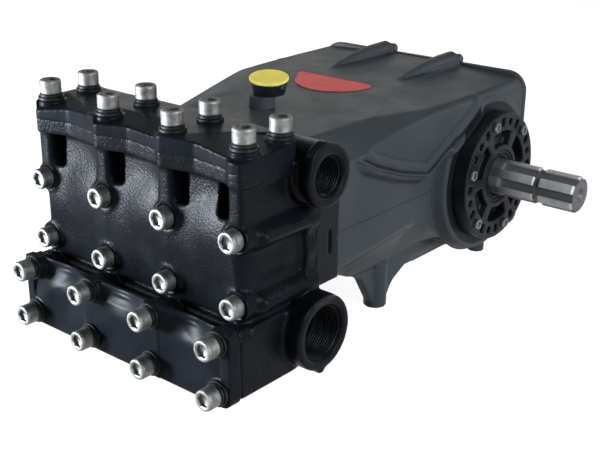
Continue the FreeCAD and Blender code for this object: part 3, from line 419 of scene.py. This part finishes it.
def make_material(name, tone, rough, bumps, worn=None, marks_and_shade=None, **values):
    """A material whose colour, roughness and fine relief vary with noise.

    tone holds the noise and two colours, rough the noise and two values, and each of bumps the noise,
    its depth and its strength. A noise is given as the size of its blobs, its detail and its squeeze.
    """
    finish = Finish(name)
    finish.set(**values)
    noise, dark, light = tone
    colour = finish.ramp(finish.noise(*noise), dark, light)
    if marks_and_shade:
        colour = marks_and_shade(finish, colour)
    if worn:
        colour = edge_wear(finish, colour, worn)
    finish.colour(colour)
    noise, low, high = rough
    finish.rough(finish.span(finish.noise(*noise), low, high))
    for noise, depth, strength in bumps:
        finish.bump(finish.noise(*noise), depth, strength)
    return finish.material


def crankcase_paint():
    return make_material(
        "crankcase_paint", IOR=1.15, marks_and_shade=crankcase_marks_and_shade, worn=(0.058, 0.067, 0.076),
        tone=((60.0, 2.0), (0.030, 0.034, 0.037), (0.036, 0.041, 0.045)),
        rough=((25.0, 4.0), 0.36, 0.46),
        bumps=(((1.1, 2.0), 0.05, 0.5), ((7.0, 2.0), 0.10, 0.3)))


def head_paint():
    return make_material(
        "head_paint", IOR=1.13, worn=(0.014, 0.016, 0.019),
        tone=((30.0, 3.0), (0.0022, 0.0028, 0.0040), (0.0048, 0.0058, 0.0078)),
        rough=((12.0, 4.0), 0.28, 0.38),
        bumps=(((2.0, 3.0), 0.34, 1.0), ((9.0, 2.0), 0.3, 0.4)))


def valve_cover_paint():
    return make_material(
        "valve_cover_paint", IOR=1.10, worn=(0.03, 0.033, 0.038),
        tone=((40.0, 2.0), (0.004, 0.0055, 0.0075), (0.007, 0.0085, 0.011)),
        rough=((20.0, 3.0), 0.26, 0.34),
        bumps=(((3.0, 3.0), 0.06, 0.6), ((14.0, 2.0), 0.25, 0.4)))


def bearing_cover_paint():
    return make_material(
        "bearing_cover_paint", IOR=1.18, worn=(0.035, 0.04, 0.046),
        tone=((14.0, 3.0), (0.005, 0.0062, 0.008), (0.010, 0.012, 0.0145)),
        rough=((8.0, 4.0), 0.34, 0.5),
        bumps=(((1.0, 2.0), 0.05, 0.5),))


def zinc():
    return make_material(
        "zinc_screw", Metallic=1.0,
        tone=((5.0, 4.0), (0.12, 0.12, 0.117), (0.21, 0.21, 0.20)),
        rough=((1.6, 3.0), 0.50, 0.64),
        bumps=(((0.6, 2.0), 0.01, 0.4),))


def blackened(name, dark, light):
    return make_material(
        name, Metallic=0.7,
        tone=((4.0, 3.0), dark, light),
        rough=((2.0, 3.0), 0.4, 0.6),
        bumps=(((0.6, 2.0), 0.02, 0.5),))


def shaft_steel():
    """Turned steel, with noise squeezed along the shaft into fine rings."""
    return make_material(
        "shaft_steel", Metallic=0.5, marks_and_shade=shaft_painted_shade,
        tone=((9.0, 4.0), (0.32, 0.32, 0.325), (0.42, 0.42, 0.425)),
        rough=((3.0, 3.0), 0.52, 0.66),
        bumps=(((2.2, 3.0, (8.0, 1.0, 1.0)), 0.02, 0.6),))


def rubber():
    return make_material(
        "seal_rubber", Specular_IOR_Level=0.12,
        tone=((4.0, 3.0), (0.004, 0.004, 0.0045), (0.009, 0.009, 0.010)),
        rough=((2.0, 3.0), 0.45, 0.65),
        bumps=(((0.7, 2.0), 0.03, 0.5),))


def plastic(name, dark, light, rough, grain, shine):
    return make_material(
        name, Specular_IOR_Level=shine,
        tone=((10.0, 3.0), dark, light),
        rough=((5.0, 3.0), *rough),
        bumps=(((0.8, 2.0), grain, 0.4),))


# Mesh helpers

WELD_M = 1e-7
CAD_WELD_M = 1e-6
RING_POINTS = 96


def new_object(name, verts, faces, material, body, smooth_angle):
    """A piece from points in millimetres, smooth where its faces meet at less than the angle."""
    mesh = bpy.data.meshes.new(name)
    mesh.from_pydata([tuple(Vector(v) * MM) for v in verts], [], faces)
    mesh.validate()
    made = bpy.data.objects.new(name, mesh)
    bpy.context.scene.collection.objects.link(made)
    bm = bmesh.new()
    bm.from_mesh(mesh)
    bmesh.ops.remove_doubles(bm, verts=bm.verts, dist=WELD_M)
    bmesh.ops.recalc_face_normals(bm, faces=bm.faces)
    limit = math.radians(smooth_angle)
    for face in bm.faces:
        face.smooth = True
    for edge in bm.edges:
        edge.smooth = len(edge.link_faces) == 2 and edge.calc_face_angle(0.0) < limit
    bm.to_mesh(mesh)
    bm.free()
    mesh.materials.append(material)
    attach(made, body)
    return made


class Build:
    """Collects the vertices and faces of one piece made of many alike parts."""

    def __init__(self):
        self.verts = []
        self.faces = []

    def skin(self, rings, loop=False):
        """Faces between rings of equally many points, with flat ends or closed into a loop."""
        first = len(self.verts)
        count = len(rings[0])
        for ring in rings:
            self.verts.extend(ring)
        for level in range(len(rings) - (0 if loop else 1)):
            low = first + level * count
            high = first + (level + 1) % len(rings) * count
            for index in range(count):
                after = (index + 1) % count
                self.faces.append((low + index, low + after, high + after, high + index))
        if not loop:
            last = first + (len(rings) - 1) * count
            self.faces.append(tuple(range(first + count - 1, first - 1, -1)))
            self.faces.append(tuple(range(last, last + count)))

    def finish(self, name, material, body, slot, smooth_angle=35.0):
        return new_object(name, self.verts, self.faces, material, body, smooth_angle)


def axes_for(way):
    """Two unit vectors across a direction."""
    side = Z if abs(way.z) < 0.9 else X
    u = way.cross(side).normalized()
    return u, way.cross(u).normalized()


def stack(centre, way, profile, count):
    """Rings around a direction. Each has a radius, or its radius at each angle, and a height."""
    u, v = axes_for(way)
    rings = []
    for radius, height in profile:
        ring = []
        for index in range(count):
            angle = TAU * index / count
            r = radius(angle) if callable(radius) else radius
            ring.append(centre + way * height + u * (r * math.cos(angle)) + v * (r * math.sin(angle)))
        rings.append(ring)
    return rings


def hexagon(flats):
    """The radius at each angle of a hexagon, given the distance between its flats."""
    sector = TAU / 6.0
    return lambda angle: flats / 2.0 / math.cos(angle % sector - sector / 2.0)


def apply_modifiers(piece):
    graph = bpy.context.evaluated_depsgraph_get()
    made = bpy.data.meshes.new_from_object(piece.evaluated_get(graph))
    piece.modifiers.clear()
    piece.data = made


def cast_piece(node, material, slot, voxel, rounds, faces, carve=None, body=BODY):
    """A cast version of a node: remeshed evenly, its edges and inner corners rounded by smoothing.

    carve moves single points of the even mesh before it is thinned out to about so many faces.
    """
    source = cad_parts[node]
    piece = bpy.data.objects.new(node + "_cast", source.data.copy())
    bpy.context.scene.collection.objects.link(piece)
    bm = bmesh.new()
    bm.from_mesh(piece.data)
    bmesh.ops.remove_doubles(bm, verts=bm.verts, dist=CAD_WELD_M)
    bm.to_mesh(piece.data)
    bm.free()
    remesh = piece.modifiers.new("remesh", "REMESH")
    remesh.mode = "VOXEL"
    remesh.voxel_size = voxel * MM
    smooth = piece.modifiers.new("smooth", "SMOOTH")
    smooth.factor = 0.5
    smooth.iterations = rounds
    apply_modifiers(piece)
    if carve:
        for vertex in piece.data.vertices:
            vertex.co = carve(vertex.co / MM) * MM
    triangles = len(piece.data.polygons) * 2
    if triangles > faces:
        fewer = piece.modifiers.new("fewer", "DECIMATE")
        fewer.ratio = faces / triangles
        apply_modifiers(piece)
    for polygon in piece.data.polygons:
        polygon.use_smooth = True
    piece.data.materials.clear()
    piece.data.materials.append(material)
    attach(piece, body)
    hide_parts(node)


# Cast relief

SIDE_X = 112.0
CRANKCASE_Y = (-196.0, 24.0)
LEAF_BORDER = [
    (-172.0, 169.5), (-168.5, 166.8), (-146.6, 155.3), (-113.6, 142.2), (-79.0, 132.5), (-73.5, 131.3),
    (-69.5, 131.6), (-65.0, 134.0), (-55.7, 138.6), (-32.0, 151.4), (-8.5, 164.0), (3.5, 171.5),
    (12.0, 178.0), (20.0, 184.0)]
LEAF_LOWEST_Z = 118.0
LEAF_REAR_Y = 20.0
LEAF_FADES_IN_Y = (-172.0, -150.0)
LEAF_FADES_OUT_Y = (6.0, 18.0)
# Height, distance below the border and half width
LIP = (3.0, -7.6, 6.4)
GROOVE = (5.8, 1.9, 5.8)
DRAFT = 0.07
DRAFT_FROM_RADIUS = (80.0, 96.0)
DRAFT_FROM_Y = (-197.0, -190.0)

BAY_Z = (96.0, 178.0)
BAY_FRONT_Y = -292.0
BAY_HALF_WIDTH = 116.0
CUSHION_HEIGHT = 3.0
CUSHION_RADIUS = 32.0
CUSHION_OFFSET = 26.0
CUSHION_Z = 137.0
RIDGE_Y = (-298.0, -206.0)
RIDGES_FADE_IN_Y = (-298.0, -290.0)
RIDGES_FADE_OUT_Y = (-222.0, -208.0)
# Height, middle along Z and half width
RIDGES = ((5.6, HEAD_ROWS[0] - 1.0, 13.0), (5.6, HEAD_ROWS[1] - 1.0, 13.0))
HOLLOW = (1.5, 109.5, 12.0)

SUCTION_BAYS = (
    # middle, how far the edge falls back, depth of the dish
    (-PITCH, 9.0, 2.4),
    (0.0, 5.0, 0.0),
    (PITCH, 9.5, 2.4),
)
SUCTION_BAY_HALF = 31.0
SUCTION_SEAT_Y = -316.5
SUCTION_DEPTH = 13.0
SUCTION_FALL_Z = (40.0, 66.0)
SUCTION_DISH_Z = 34.0
SUCTION_DISH_HALF = 24.0
SUCTION_DROP = 4.0
SUCTION_DROP_Z = (58.0, 67.0)

DELIVERY_LAP = 2.6
DELIVERY_EDGE_Z = (192.0, 196.0)


def distance_below(border, y, z):
    """Signed distance from a border in the YZ plane, positive below it or to its right."""
    best = math.inf
    side = 1.0
    for (y0, z0), (y1, z1) in zip(border[:-1], border[1:]):
        dy = y1 - y0
        dz = z1 - z0
        share = ((y - y0) * dy + (z - z0) * dz) / (dy * dy + dz * dz)
        share = min(1.0, max(0.0, share))
        off_y = y - y0 - share * dy
        off_z = z - z0 - share * dz
        reach = math.hypot(off_y, off_z)
        if reach < best:
            best = reach
            side = 1.0 if off_y * dz - off_z * dy > 0 else -1.0
    return side * best


def hump(value, centre, half_width):
    """A smooth rise from 0 to 1 at the centre and back to 0."""
    share = (value - centre) / half_width
    return (1.0 - share * share) ** 2 if abs(share) < 1.0 else 0.0


def ridge(value, height, centre, half_width):
    return height * hump(value, centre, half_width)


def ease(value, low, high):
    """A smooth step from 0 at low to 1 at high."""
    share = min(1.0, max(0.0, (value - low) / (high - low)))
    return share * share * (3.0 - 2.0 * share)


def carve_crankcase(point):
    """Lip and groove along the leaf panels, and the draft of the sides below the parting line."""
    x, y, z = point
    front, rear = CRANKCASE_Y
    if abs(x) < SIDE_X or y > rear or y < front:
        return point
    out = 0.0
    if z > LEAF_LOWEST_Z and y < LEAF_REAR_Y:
        below = distance_below(LEAF_BORDER, y, z)
        fade = ease(y, *LEAF_FADES_IN_Y) * (1.0 - ease(y, *LEAF_FADES_OUT_Y))
        out = fade * (ridge(below, *LIP) - ridge(below, *GROOVE))
    if z < PARTING_Z:
        radius = math.hypot(y - CRANK.y, z - CRANK.z)
        clear = ease(radius, *DRAFT_FROM_RADIUS) * ease(y, *DRAFT_FROM_Y)
        out -= DRAFT * (PARTING_Z - z) * clear
    return Vector((x + math.copysign(out, x), y, z))


def carve_head(point):
    """Cushions in the bays of the front wall, and ridges over the screw holes on the two sides."""
    x, y, z = point
    if y < BAY_FRONT_Y and BAY_Z[0] < z < BAY_Z[1] and abs(x) < BAY_HALF_WIDTH:
        push = 0.0
        for column in COLUMNS[1:]:
            across = (x - column + CUSHION_OFFSET) / CUSHION_RADIUS
            reach = math.hypot(across, (z - CUSHION_Z) / CUSHION_RADIUS)
            push += ridge(reach, CUSHION_HEIGHT, 0.0, 1.0)
        return Vector((x, y - push, z))
    if abs(x) > SIDE_X and RIDGE_Y[0] < y < RIDGE_Y[1]:
        along = ease(y, *RIDGES_FADE_IN_Y) * (1.0 - ease(y, *RIDGES_FADE_OUT_Y))
        out = sum(ridge(z, *shape) for shape in RIDGES) - ridge(z, *HOLLOW)
        return Vector((x + math.copysign(out * along, x), y, z))
    return point


def carve_suction_cover(point):
    """Dished bays whose upper part falls back to a wavy edge."""
    x, y, z = point
    share = min(1.0, max(0.0, (SUCTION_SEAT_Y - y) / SUCTION_DEPTH))
    back = 0.0
    down = 0.0
    for middle, fall, dish in SUCTION_BAYS:
        wave = hump(x, middle, SUCTION_BAY_HALF)
        dished = ridge(z, dish, SUCTION_DISH_Z, SUCTION_DISH_HALF)
        back += wave * (fall * ease(z, *SUCTION_FALL_Z) + dished)
        down += wave * SUCTION_DROP * ease(z, *SUCTION_DROP_Z)
    return Vector((x, y + back * share, z - down * share))


def carve_delivery_cover(point):
    """The lower edge reaches a little over the head's rounded edge, as the joint hardly shows."""
    lap = DELIVERY_LAP * (1.0 - ease(point.z, *DELIVERY_EDGE_Z))
    return Vector((point.x, point.y, point.z - lap))


# Screws and washers

SCREW_RADIUS = 9.0
SCREW_HEIGHT = 12.0
KNURL_TEETH = 48
KNURL_DEPTH = 0.14
COVER_SCREWS = 6
COVER_SCREW_CIRCLE = 53.6
COVER_SCREW_START_DEG = -14.4
COVER_SCREW_SEAT_X = 143.5
COVER_SCREW_POINTS = 48
WASHER_POINTS = 72


def knurl(angle):
    return SCREW_RADIUS - KNURL_DEPTH * (1.0 + math.cos(KNURL_TEETH * angle)) / 2.0


def add_screw(build, seat, way):
    """M12 socket head: knurled side, rounded rim, hexagon socket with a conical floor."""
    radius = SCREW_RADIUS
    height = SCREW_HEIGHT
    profile = [
        (8.2, 0.0), (8.8, 0.5), (radius, 1.2),
        (knurl, 2.0), (knurl, height - 2.4),
        (radius, height - 1.8), (radius - 0.25, height - 0.9), (radius - 0.75, height - 0.25),
        (radius - 1.5, height), (6.5, height), (6.1, height - 0.15),
        (hexagon(10.1), height - 0.7), (hexagon(10.0), height - 3.2),
        (2.0, height - 3.9), (0.2, height - 4.2)]
    build.skin(stack(seat, way, profile, RING_POINTS))


def make_screws(material):
    raised = COVER_TOP_Z + 2 * WASHER_DEPTH
    front = COVER_FACE_Y - 2 * WASHER_DEPTH
    rows = (
        ("delivery_cover_screws_front", TOP_ROWS[0], raised, Z),
        ("delivery_cover_screws_rear", TOP_ROWS[1], raised, Z),
        ("suction_cover_screws_upper", front, SUCTION_ROWS[0], -Y),
        ("suction_cover_screws_lower", front, SUCTION_ROWS[1], -Y),
        ("head_screws_upper", HEAD_SEAT_Y, HEAD_ROWS[0], -Y),
        ("head_screws_lower", HEAD_SEAT_Y, HEAD_ROWS[1], -Y),
    )
    for node, y, z, way in rows:
        build = Build()
        for x in COLUMNS:
            add_screw(build, Vector((x, y, z)), way)
        piece = build.finish(node + "_turned", material, BODY, "zinc_screw", smooth_angle=30.0)
        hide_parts(node)


def add_flat_ring(build, seat, way):
    outer, inner = FLAT_WASHER_RADII
    depth = WASHER_DEPTH
    edge = 0.25
    lift = 0.02
    profile = [
        (inner, lift), (outer - edge, lift), (outer, edge),
        (outer, depth - edge), (outer - edge, depth), (inner, depth)]
    build.skin(stack(seat, way, profile, WASHER_POINTS), loop=True)


def add_split_ring(build, seat, way):
    """Spring washer: a ring with a slanted cut, its ends standing apart a little."""
    u, v = axes_for(way)
    outer, inner = LOCK_WASHER_RADII
    depth = WASHER_DEPTH
    count = 60
    gap = 0.10
    lean = 0.07
    outline = [
        (inner, 0.05), (outer - 0.3, 0.05), (outer, 0.4),
        (outer, depth - 0.4), (outer - 0.3, depth - 0.02), (inner, depth - 0.02)]
    rings = []
    for index in range(count + 1):
        share = index / count
        section = []
        for r, height in outline:
            tilt = lean * (height / depth - 0.5)
            angle = gap / 2 + share * (TAU - gap) + tilt
            section.append(seat + way * height + u * (r * math.cos(angle)) + v * (r * math.sin(angle)))
        rings.append(section)
    build.skin(rings)


def make_washers(material):
    sets = (
        ("delivery_cover", [Vector((x, y, COVER_TOP_Z)) for y in TOP_ROWS for x in COLUMNS], Z),
        ("suction_cover", [Vector((x, COVER_FACE_Y, z)) for z in SUCTION_ROWS for x in COLUMNS], -Y),
    )
    for name, seats, way in sets:
        flat = Build()
        split = Build()
        for seat in seats:
            add_flat_ring(flat, seat, way)
            add_split_ring(split, seat + way * WASHER_DEPTH, way)
        piece = flat.finish(name + "_washers_turned", material, BODY, "dark_washer")
        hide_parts(name + "_washers")
        piece = split.finish(name + "_lock_washers_bent", material, BODY, "dark_washer")
        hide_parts(name + "_lock_washers")


def make_cover_screws(material):
    """Socket screws on the rims of the bearing covers."""
    profile = [
        (4.7, 0.0), (4.9, 0.3), (4.9, 1.9), (4.6, 2.5), (4.2, 2.68), (2.9, 2.68),
        (hexagon(5.0), 2.5), (hexagon(5.0), 0.9), (0.2, 0.5)]
    for side, way in (("right", X), ("left", -X)):
        build = Build()
        for number in range(COVER_SCREWS):
            angle = math.radians(360.0 / COVER_SCREWS * number + COVER_SCREW_START_DEG)
            outward = Vector((0, math.cos(angle), math.sin(angle)))
            seat = CRANK + way * COVER_SCREW_SEAT_X + outward * COVER_SCREW_CIRCLE
            build.skin(stack(seat, way, profile, COVER_SCREW_POINTS))
        node = "bearing_cover_screws_" + side
        piece = build.finish(node + "_turned", material, BODY, "zinc_screw", smooth_angle=30.0)
        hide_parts(node)


# Shaft and its seal

SHAFT_START = 95.0
SHAFT_END = 227.0
JOURNAL_RADIUS = 17.5
SPLINE_RADIUS = 17.45
ROOT_RADIUS = 14.9
SPLINES = 6
SPLINE_START = SHAFT_END - 72.0
RUN_OUT = 5.0
HALF_GAP = math.radians(16.0)
GROOVE_X = SHAFT_END - 38.0
GAP_POINTS = (
    # share of the half gap, rise of the floor towards the top of the spline
    (-1.0, 0.88), (-0.93, 0.25), (-0.86, 0.0), (-0.4, 0.0), (0.0, 0.0),
    (0.4, 0.0), (0.86, 0.0), (0.93, 0.25), (1.0, 0.88),
)
TOP_POINTS = (0.06, 0.14, 0.3, 0.5, 0.7, 0.86, 0.94)
TOP_CHAMFER = 0.06
SEAL_FACE_X = 142.3


def shaft_stations():
    """Places along X with the turned radius: journal, splines, locking groove, end and centre hole."""
    outer = SPLINE_RADIUS
    journal = [(0.0, JOURNAL_RADIUS - 0.6), (0.6, JOURNAL_RADIUS), (54.4, JOURNAL_RADIUS),
               (56.0, JOURNAL_RADIUS), (58.0, JOURNAL_RADIUS), (60.0, outer)]
    groove = [(3.6, outer), (3.0, outer - 0.7), (2.2, 14.9), (1.4, 14.7)]
    end = [(2.2, outer), (1.7, outer - 0.3), (0.2, outer - 1.9), (0.0, outer - 2.4),
           (0.0, 6.4), (0.5, 5.9), (5.0, 3.0), (8.0, 0.2)]
    stations = [(SHAFT_START + off, radius) for off, radius in journal]
    stations += [(GROOVE_X - off, radius) for off, radius in groove]
    stations += [(GROOVE_X + off, radius) for off, radius in reversed(groove)]
    return stations + [(SHAFT_END - off, radius) for off, radius in end]


def spline_section():
    """Angles around the shaft, each with the rise of a gap's floor, or else the limit of a top."""
    sector = TAU / SPLINES
    width = sector - 2 * HALF_GAP
    chamfered = (TOP_POINTS[0], TOP_POINTS[-1])
    section = []
    for spline in range(SPLINES):
        middle = spline * sector
        for share, rise in GAP_POINTS:
            section.append((middle + share * HALF_GAP, rise, None))
        for share in TOP_POINTS:
            limit = SPLINE_RADIUS - TOP_CHAMFER if share in chamfered else JOURNAL_RADIUS
            section.append((middle + HALF_GAP + share * width, None, limit))
    return section


def make_shaft(material):
    """Six-spline stub: turned journal, splines with eased flanks, locking groove, centre hole."""
    section = spline_section()
    cut_start = SPLINE_START - RUN_OUT
    rings = []
    for x, radius in shaft_stations():
        share = min(1.0, max(0.0, (x - cut_start) / RUN_OUT))
        depth = math.sin(share * math.pi / 2.0)
        floor = SPLINE_RADIUS - (SPLINE_RADIUS - ROOT_RADIUS) * depth
        ring = []
        for angle, rise, limit in section:
            if rise is not None:
                limit = floor + (SPLINE_RADIUS - floor) * rise
            r = min(radius, limit)
            ring.append(Vector((x, CRANK.y + r * math.cos(angle), CRANK.z + r * math.sin(angle))))
        rings.append(ring)
    build = Build()
    build.skin(rings)
    piece = build.finish("crankshaft_turned", material, SHAFT, "shaft_steel", smooth_angle=28.0)
    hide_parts("crankshaft")


def make_seal(material):
    """Shaft seal: rubber ring with two raised beads, a groove and a lip towards the shaft."""
    profile = [
        # radius, depth behind the face
        (18.2, 7.6), (25.8, 7.6), (25.8, 0.8), (25.2, 0.2), (24.4, 0.0),
        (23.4, 0.2), (22.8, 1.6), (21.6, 1.8), (21.0, 0.5), (20.3, 0.3),
        (19.6, 0.7), (18.9, 2.4), (18.0, 3.4), (18.3, 4.4)]
    profile = [(radius, SEAL_FACE_X - depth) for radius, depth in profile]
    build = Build()
    build.skin(stack(CRANK, X, profile, RING_POINTS), loop=True)
    piece = build.finish("shaft_seal_moulded", material, BODY, "seal_rubber", smooth_angle=40.0)
    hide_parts("shaft_seal")


# Threads in the ports

THREAD_PITCH = 2.309
THREAD_HEIGHT = 1.479
THREAD_START = 1.6
THREAD_END = 27.5
STEPS_PER_TURN = 6
THREADS = (
    # piece, port, major radius
    ("suction_port_threads", INLET, 23.9),
    ("delivery_port_threads", OUTLET, 16.6),
)


def thread_height(phase):
    """How far the thread stands in over one pitch: flat crests and roots with straight flanks."""
    flank = 1.0 - abs(2.0 * phase - 1.0)
    return THREAD_HEIGHT * min(1.0, max(0.0, flank * 1.25 - 0.12))


def add_thread(build, mouth, way, major):
    """Sleeve with an internal pipe thread, in front of the port's own wall."""
    u, v = axes_for(way)
    wall = major - 0.02
    root = major - 0.05
    steps = int(THREAD_END / THREAD_PITCH * STEPS_PER_TURN)

    def sleeve_end(ring, along):
        centre = mouth - way * along
        return [centre + (point - centre).normalized() * wall for point in ring]

    rings = []
    for step in range(steps + 1):
        along = THREAD_START + (THREAD_END - THREAD_START) * step / steps
        fade = min(1.0, step / STEPS_PER_TURN)
        ring = []
        for index in range(RING_POINTS):
            angle = TAU * index / RING_POINTS
            phase = (along / THREAD_PITCH + index / RING_POINTS) % 1.0
            r = root - thread_height(phase) * fade
            ring.append(mouth - way * along + u * (r * math.cos(angle)) + v * (r * math.sin(angle)))
        rings.append(ring)
    back = sleeve_end(rings[-1], THREAD_END)
    front = sleeve_end(rings[0], THREAD_START)
    build.skin(rings + [back, front], loop=True)


def make_threads(material):
    for name, (y, z), major in THREADS:
        build = Build()
        for way in (X, -X):
            add_thread(build, Vector((PORT_FACE_X * way.x, y, z)), way, major)
        build.finish(name, material, BODY, "head_paint", smooth_angle=40.0)


# Oil cap

CAP_CENTRE = Vector((0.5, -144.0, 213.0))
CAP_TILT = math.radians(9.0)
CAP_LEAN = Vector((0.64, -0.77, 0.0))
CAP_WAY = (CAP_LEAN * math.sin(CAP_TILT) + Z * math.cos(CAP_TILT)).normalized()
CAP_PROFILE = [
    (17.0, 0.0), (17.6, 0.15), (17.8, 0.6), (17.8, 1.7), (17.5, 2.3), (16.9, 2.55), (16.2, 2.58),
    (15.6, 2.3), (14.8, 2.15), (9.0, 2.3), (3.0, 2.38), (0.2, 2.4)]


def make_cap_top(material):
    """Yellow disc with a shallow rim and a softly domed middle."""
    build = Build()
    build.skin(stack(CAP_CENTRE, CAP_WAY, CAP_PROFILE, RING_POINTS))
    piece = build.finish("oil_cap_top_moulded", material, BODY, "cap_yellow", smooth_angle=50.0)
    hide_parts("oil_cap_top")


# The whole pump

def make_castings(case, head):
    cover = bearing_cover_paint()
    smooth = valve_cover_paint()
    dark = blackened("dark_screw", (0.03, 0.03, 0.03), (0.07, 0.07, 0.07))
    black = plastic("cap_black", (0.004, 0.004, 0.0045), (0.009, 0.009, 0.01), (0.3, 0.45), 0.04, 0.5)
    red = plastic("badge_red", (0.42, 0.04, 0.037), (0.48, 0.055, 0.05), (0.4, 0.5), 0.01, 0.06)
    castings = (
        # node, material, slot, voxel, rounds of smoothing, most triangles, carving
        ("crankcase", case, "crankcase_paint", 1.2, 9, 190000, carve_crankcase),
        ("head_casting", head, "head_paint", 1.4, 7, 180000, carve_head),
        ("delivery_valve_cover", smooth, "head_paint", 0.9, 4, 60000, carve_delivery_cover),
        ("suction_valve_cover", smooth, "head_paint", 0.9, 4, 60000, carve_suction_cover),
        ("bearing_cover_right", cover, "bearing_cover_paint", 0.8, 4, 70000),
        ("bearing_cover_left", cover, "bearing_cover_paint", 0.9, 4, 60000),
        ("rear_cover", case, "crankcase_paint", 1.2, 5, 40000),
        ("oil_filler_collar", case, "crankcase_paint", 0.5, 4, 12000),
        ("oil_cap_body", black, "cap_black", 0.5, 4, 16000),
        ("blank_badge", red, "badge_red", 0.35, 3, 30000),
        ("rear_cover_screws", dark, "dark_screw", 0.5, 3, 16000),
    )
    for casting in castings:
        cast_piece(*casting)


def make_pump():
    head = head_paint()
    bright = zinc()
    yellow = plastic("cap_yellow", (0.61, 0.51, 0.075), (0.67, 0.56, 0.11), (0.4, 0.55), 0.02, 0.12)
    make_castings(crankcase_paint(), head)
    make_seal(rubber())
    make_screws(bright)
    make_cover_screws(bright)
    make_washers(blackened("dark_washer", (0.005, 0.005, 0.006), (0.014, 0.014, 0.015)))
    make_shaft(shaft_steel())
    make_threads(head)
    make_cap_top(yellow)


make_camera()
make_studio()
make_floor()
make_pump()

scene = bpy.context.scene
scene.view_settings.view_transform = "Standard"
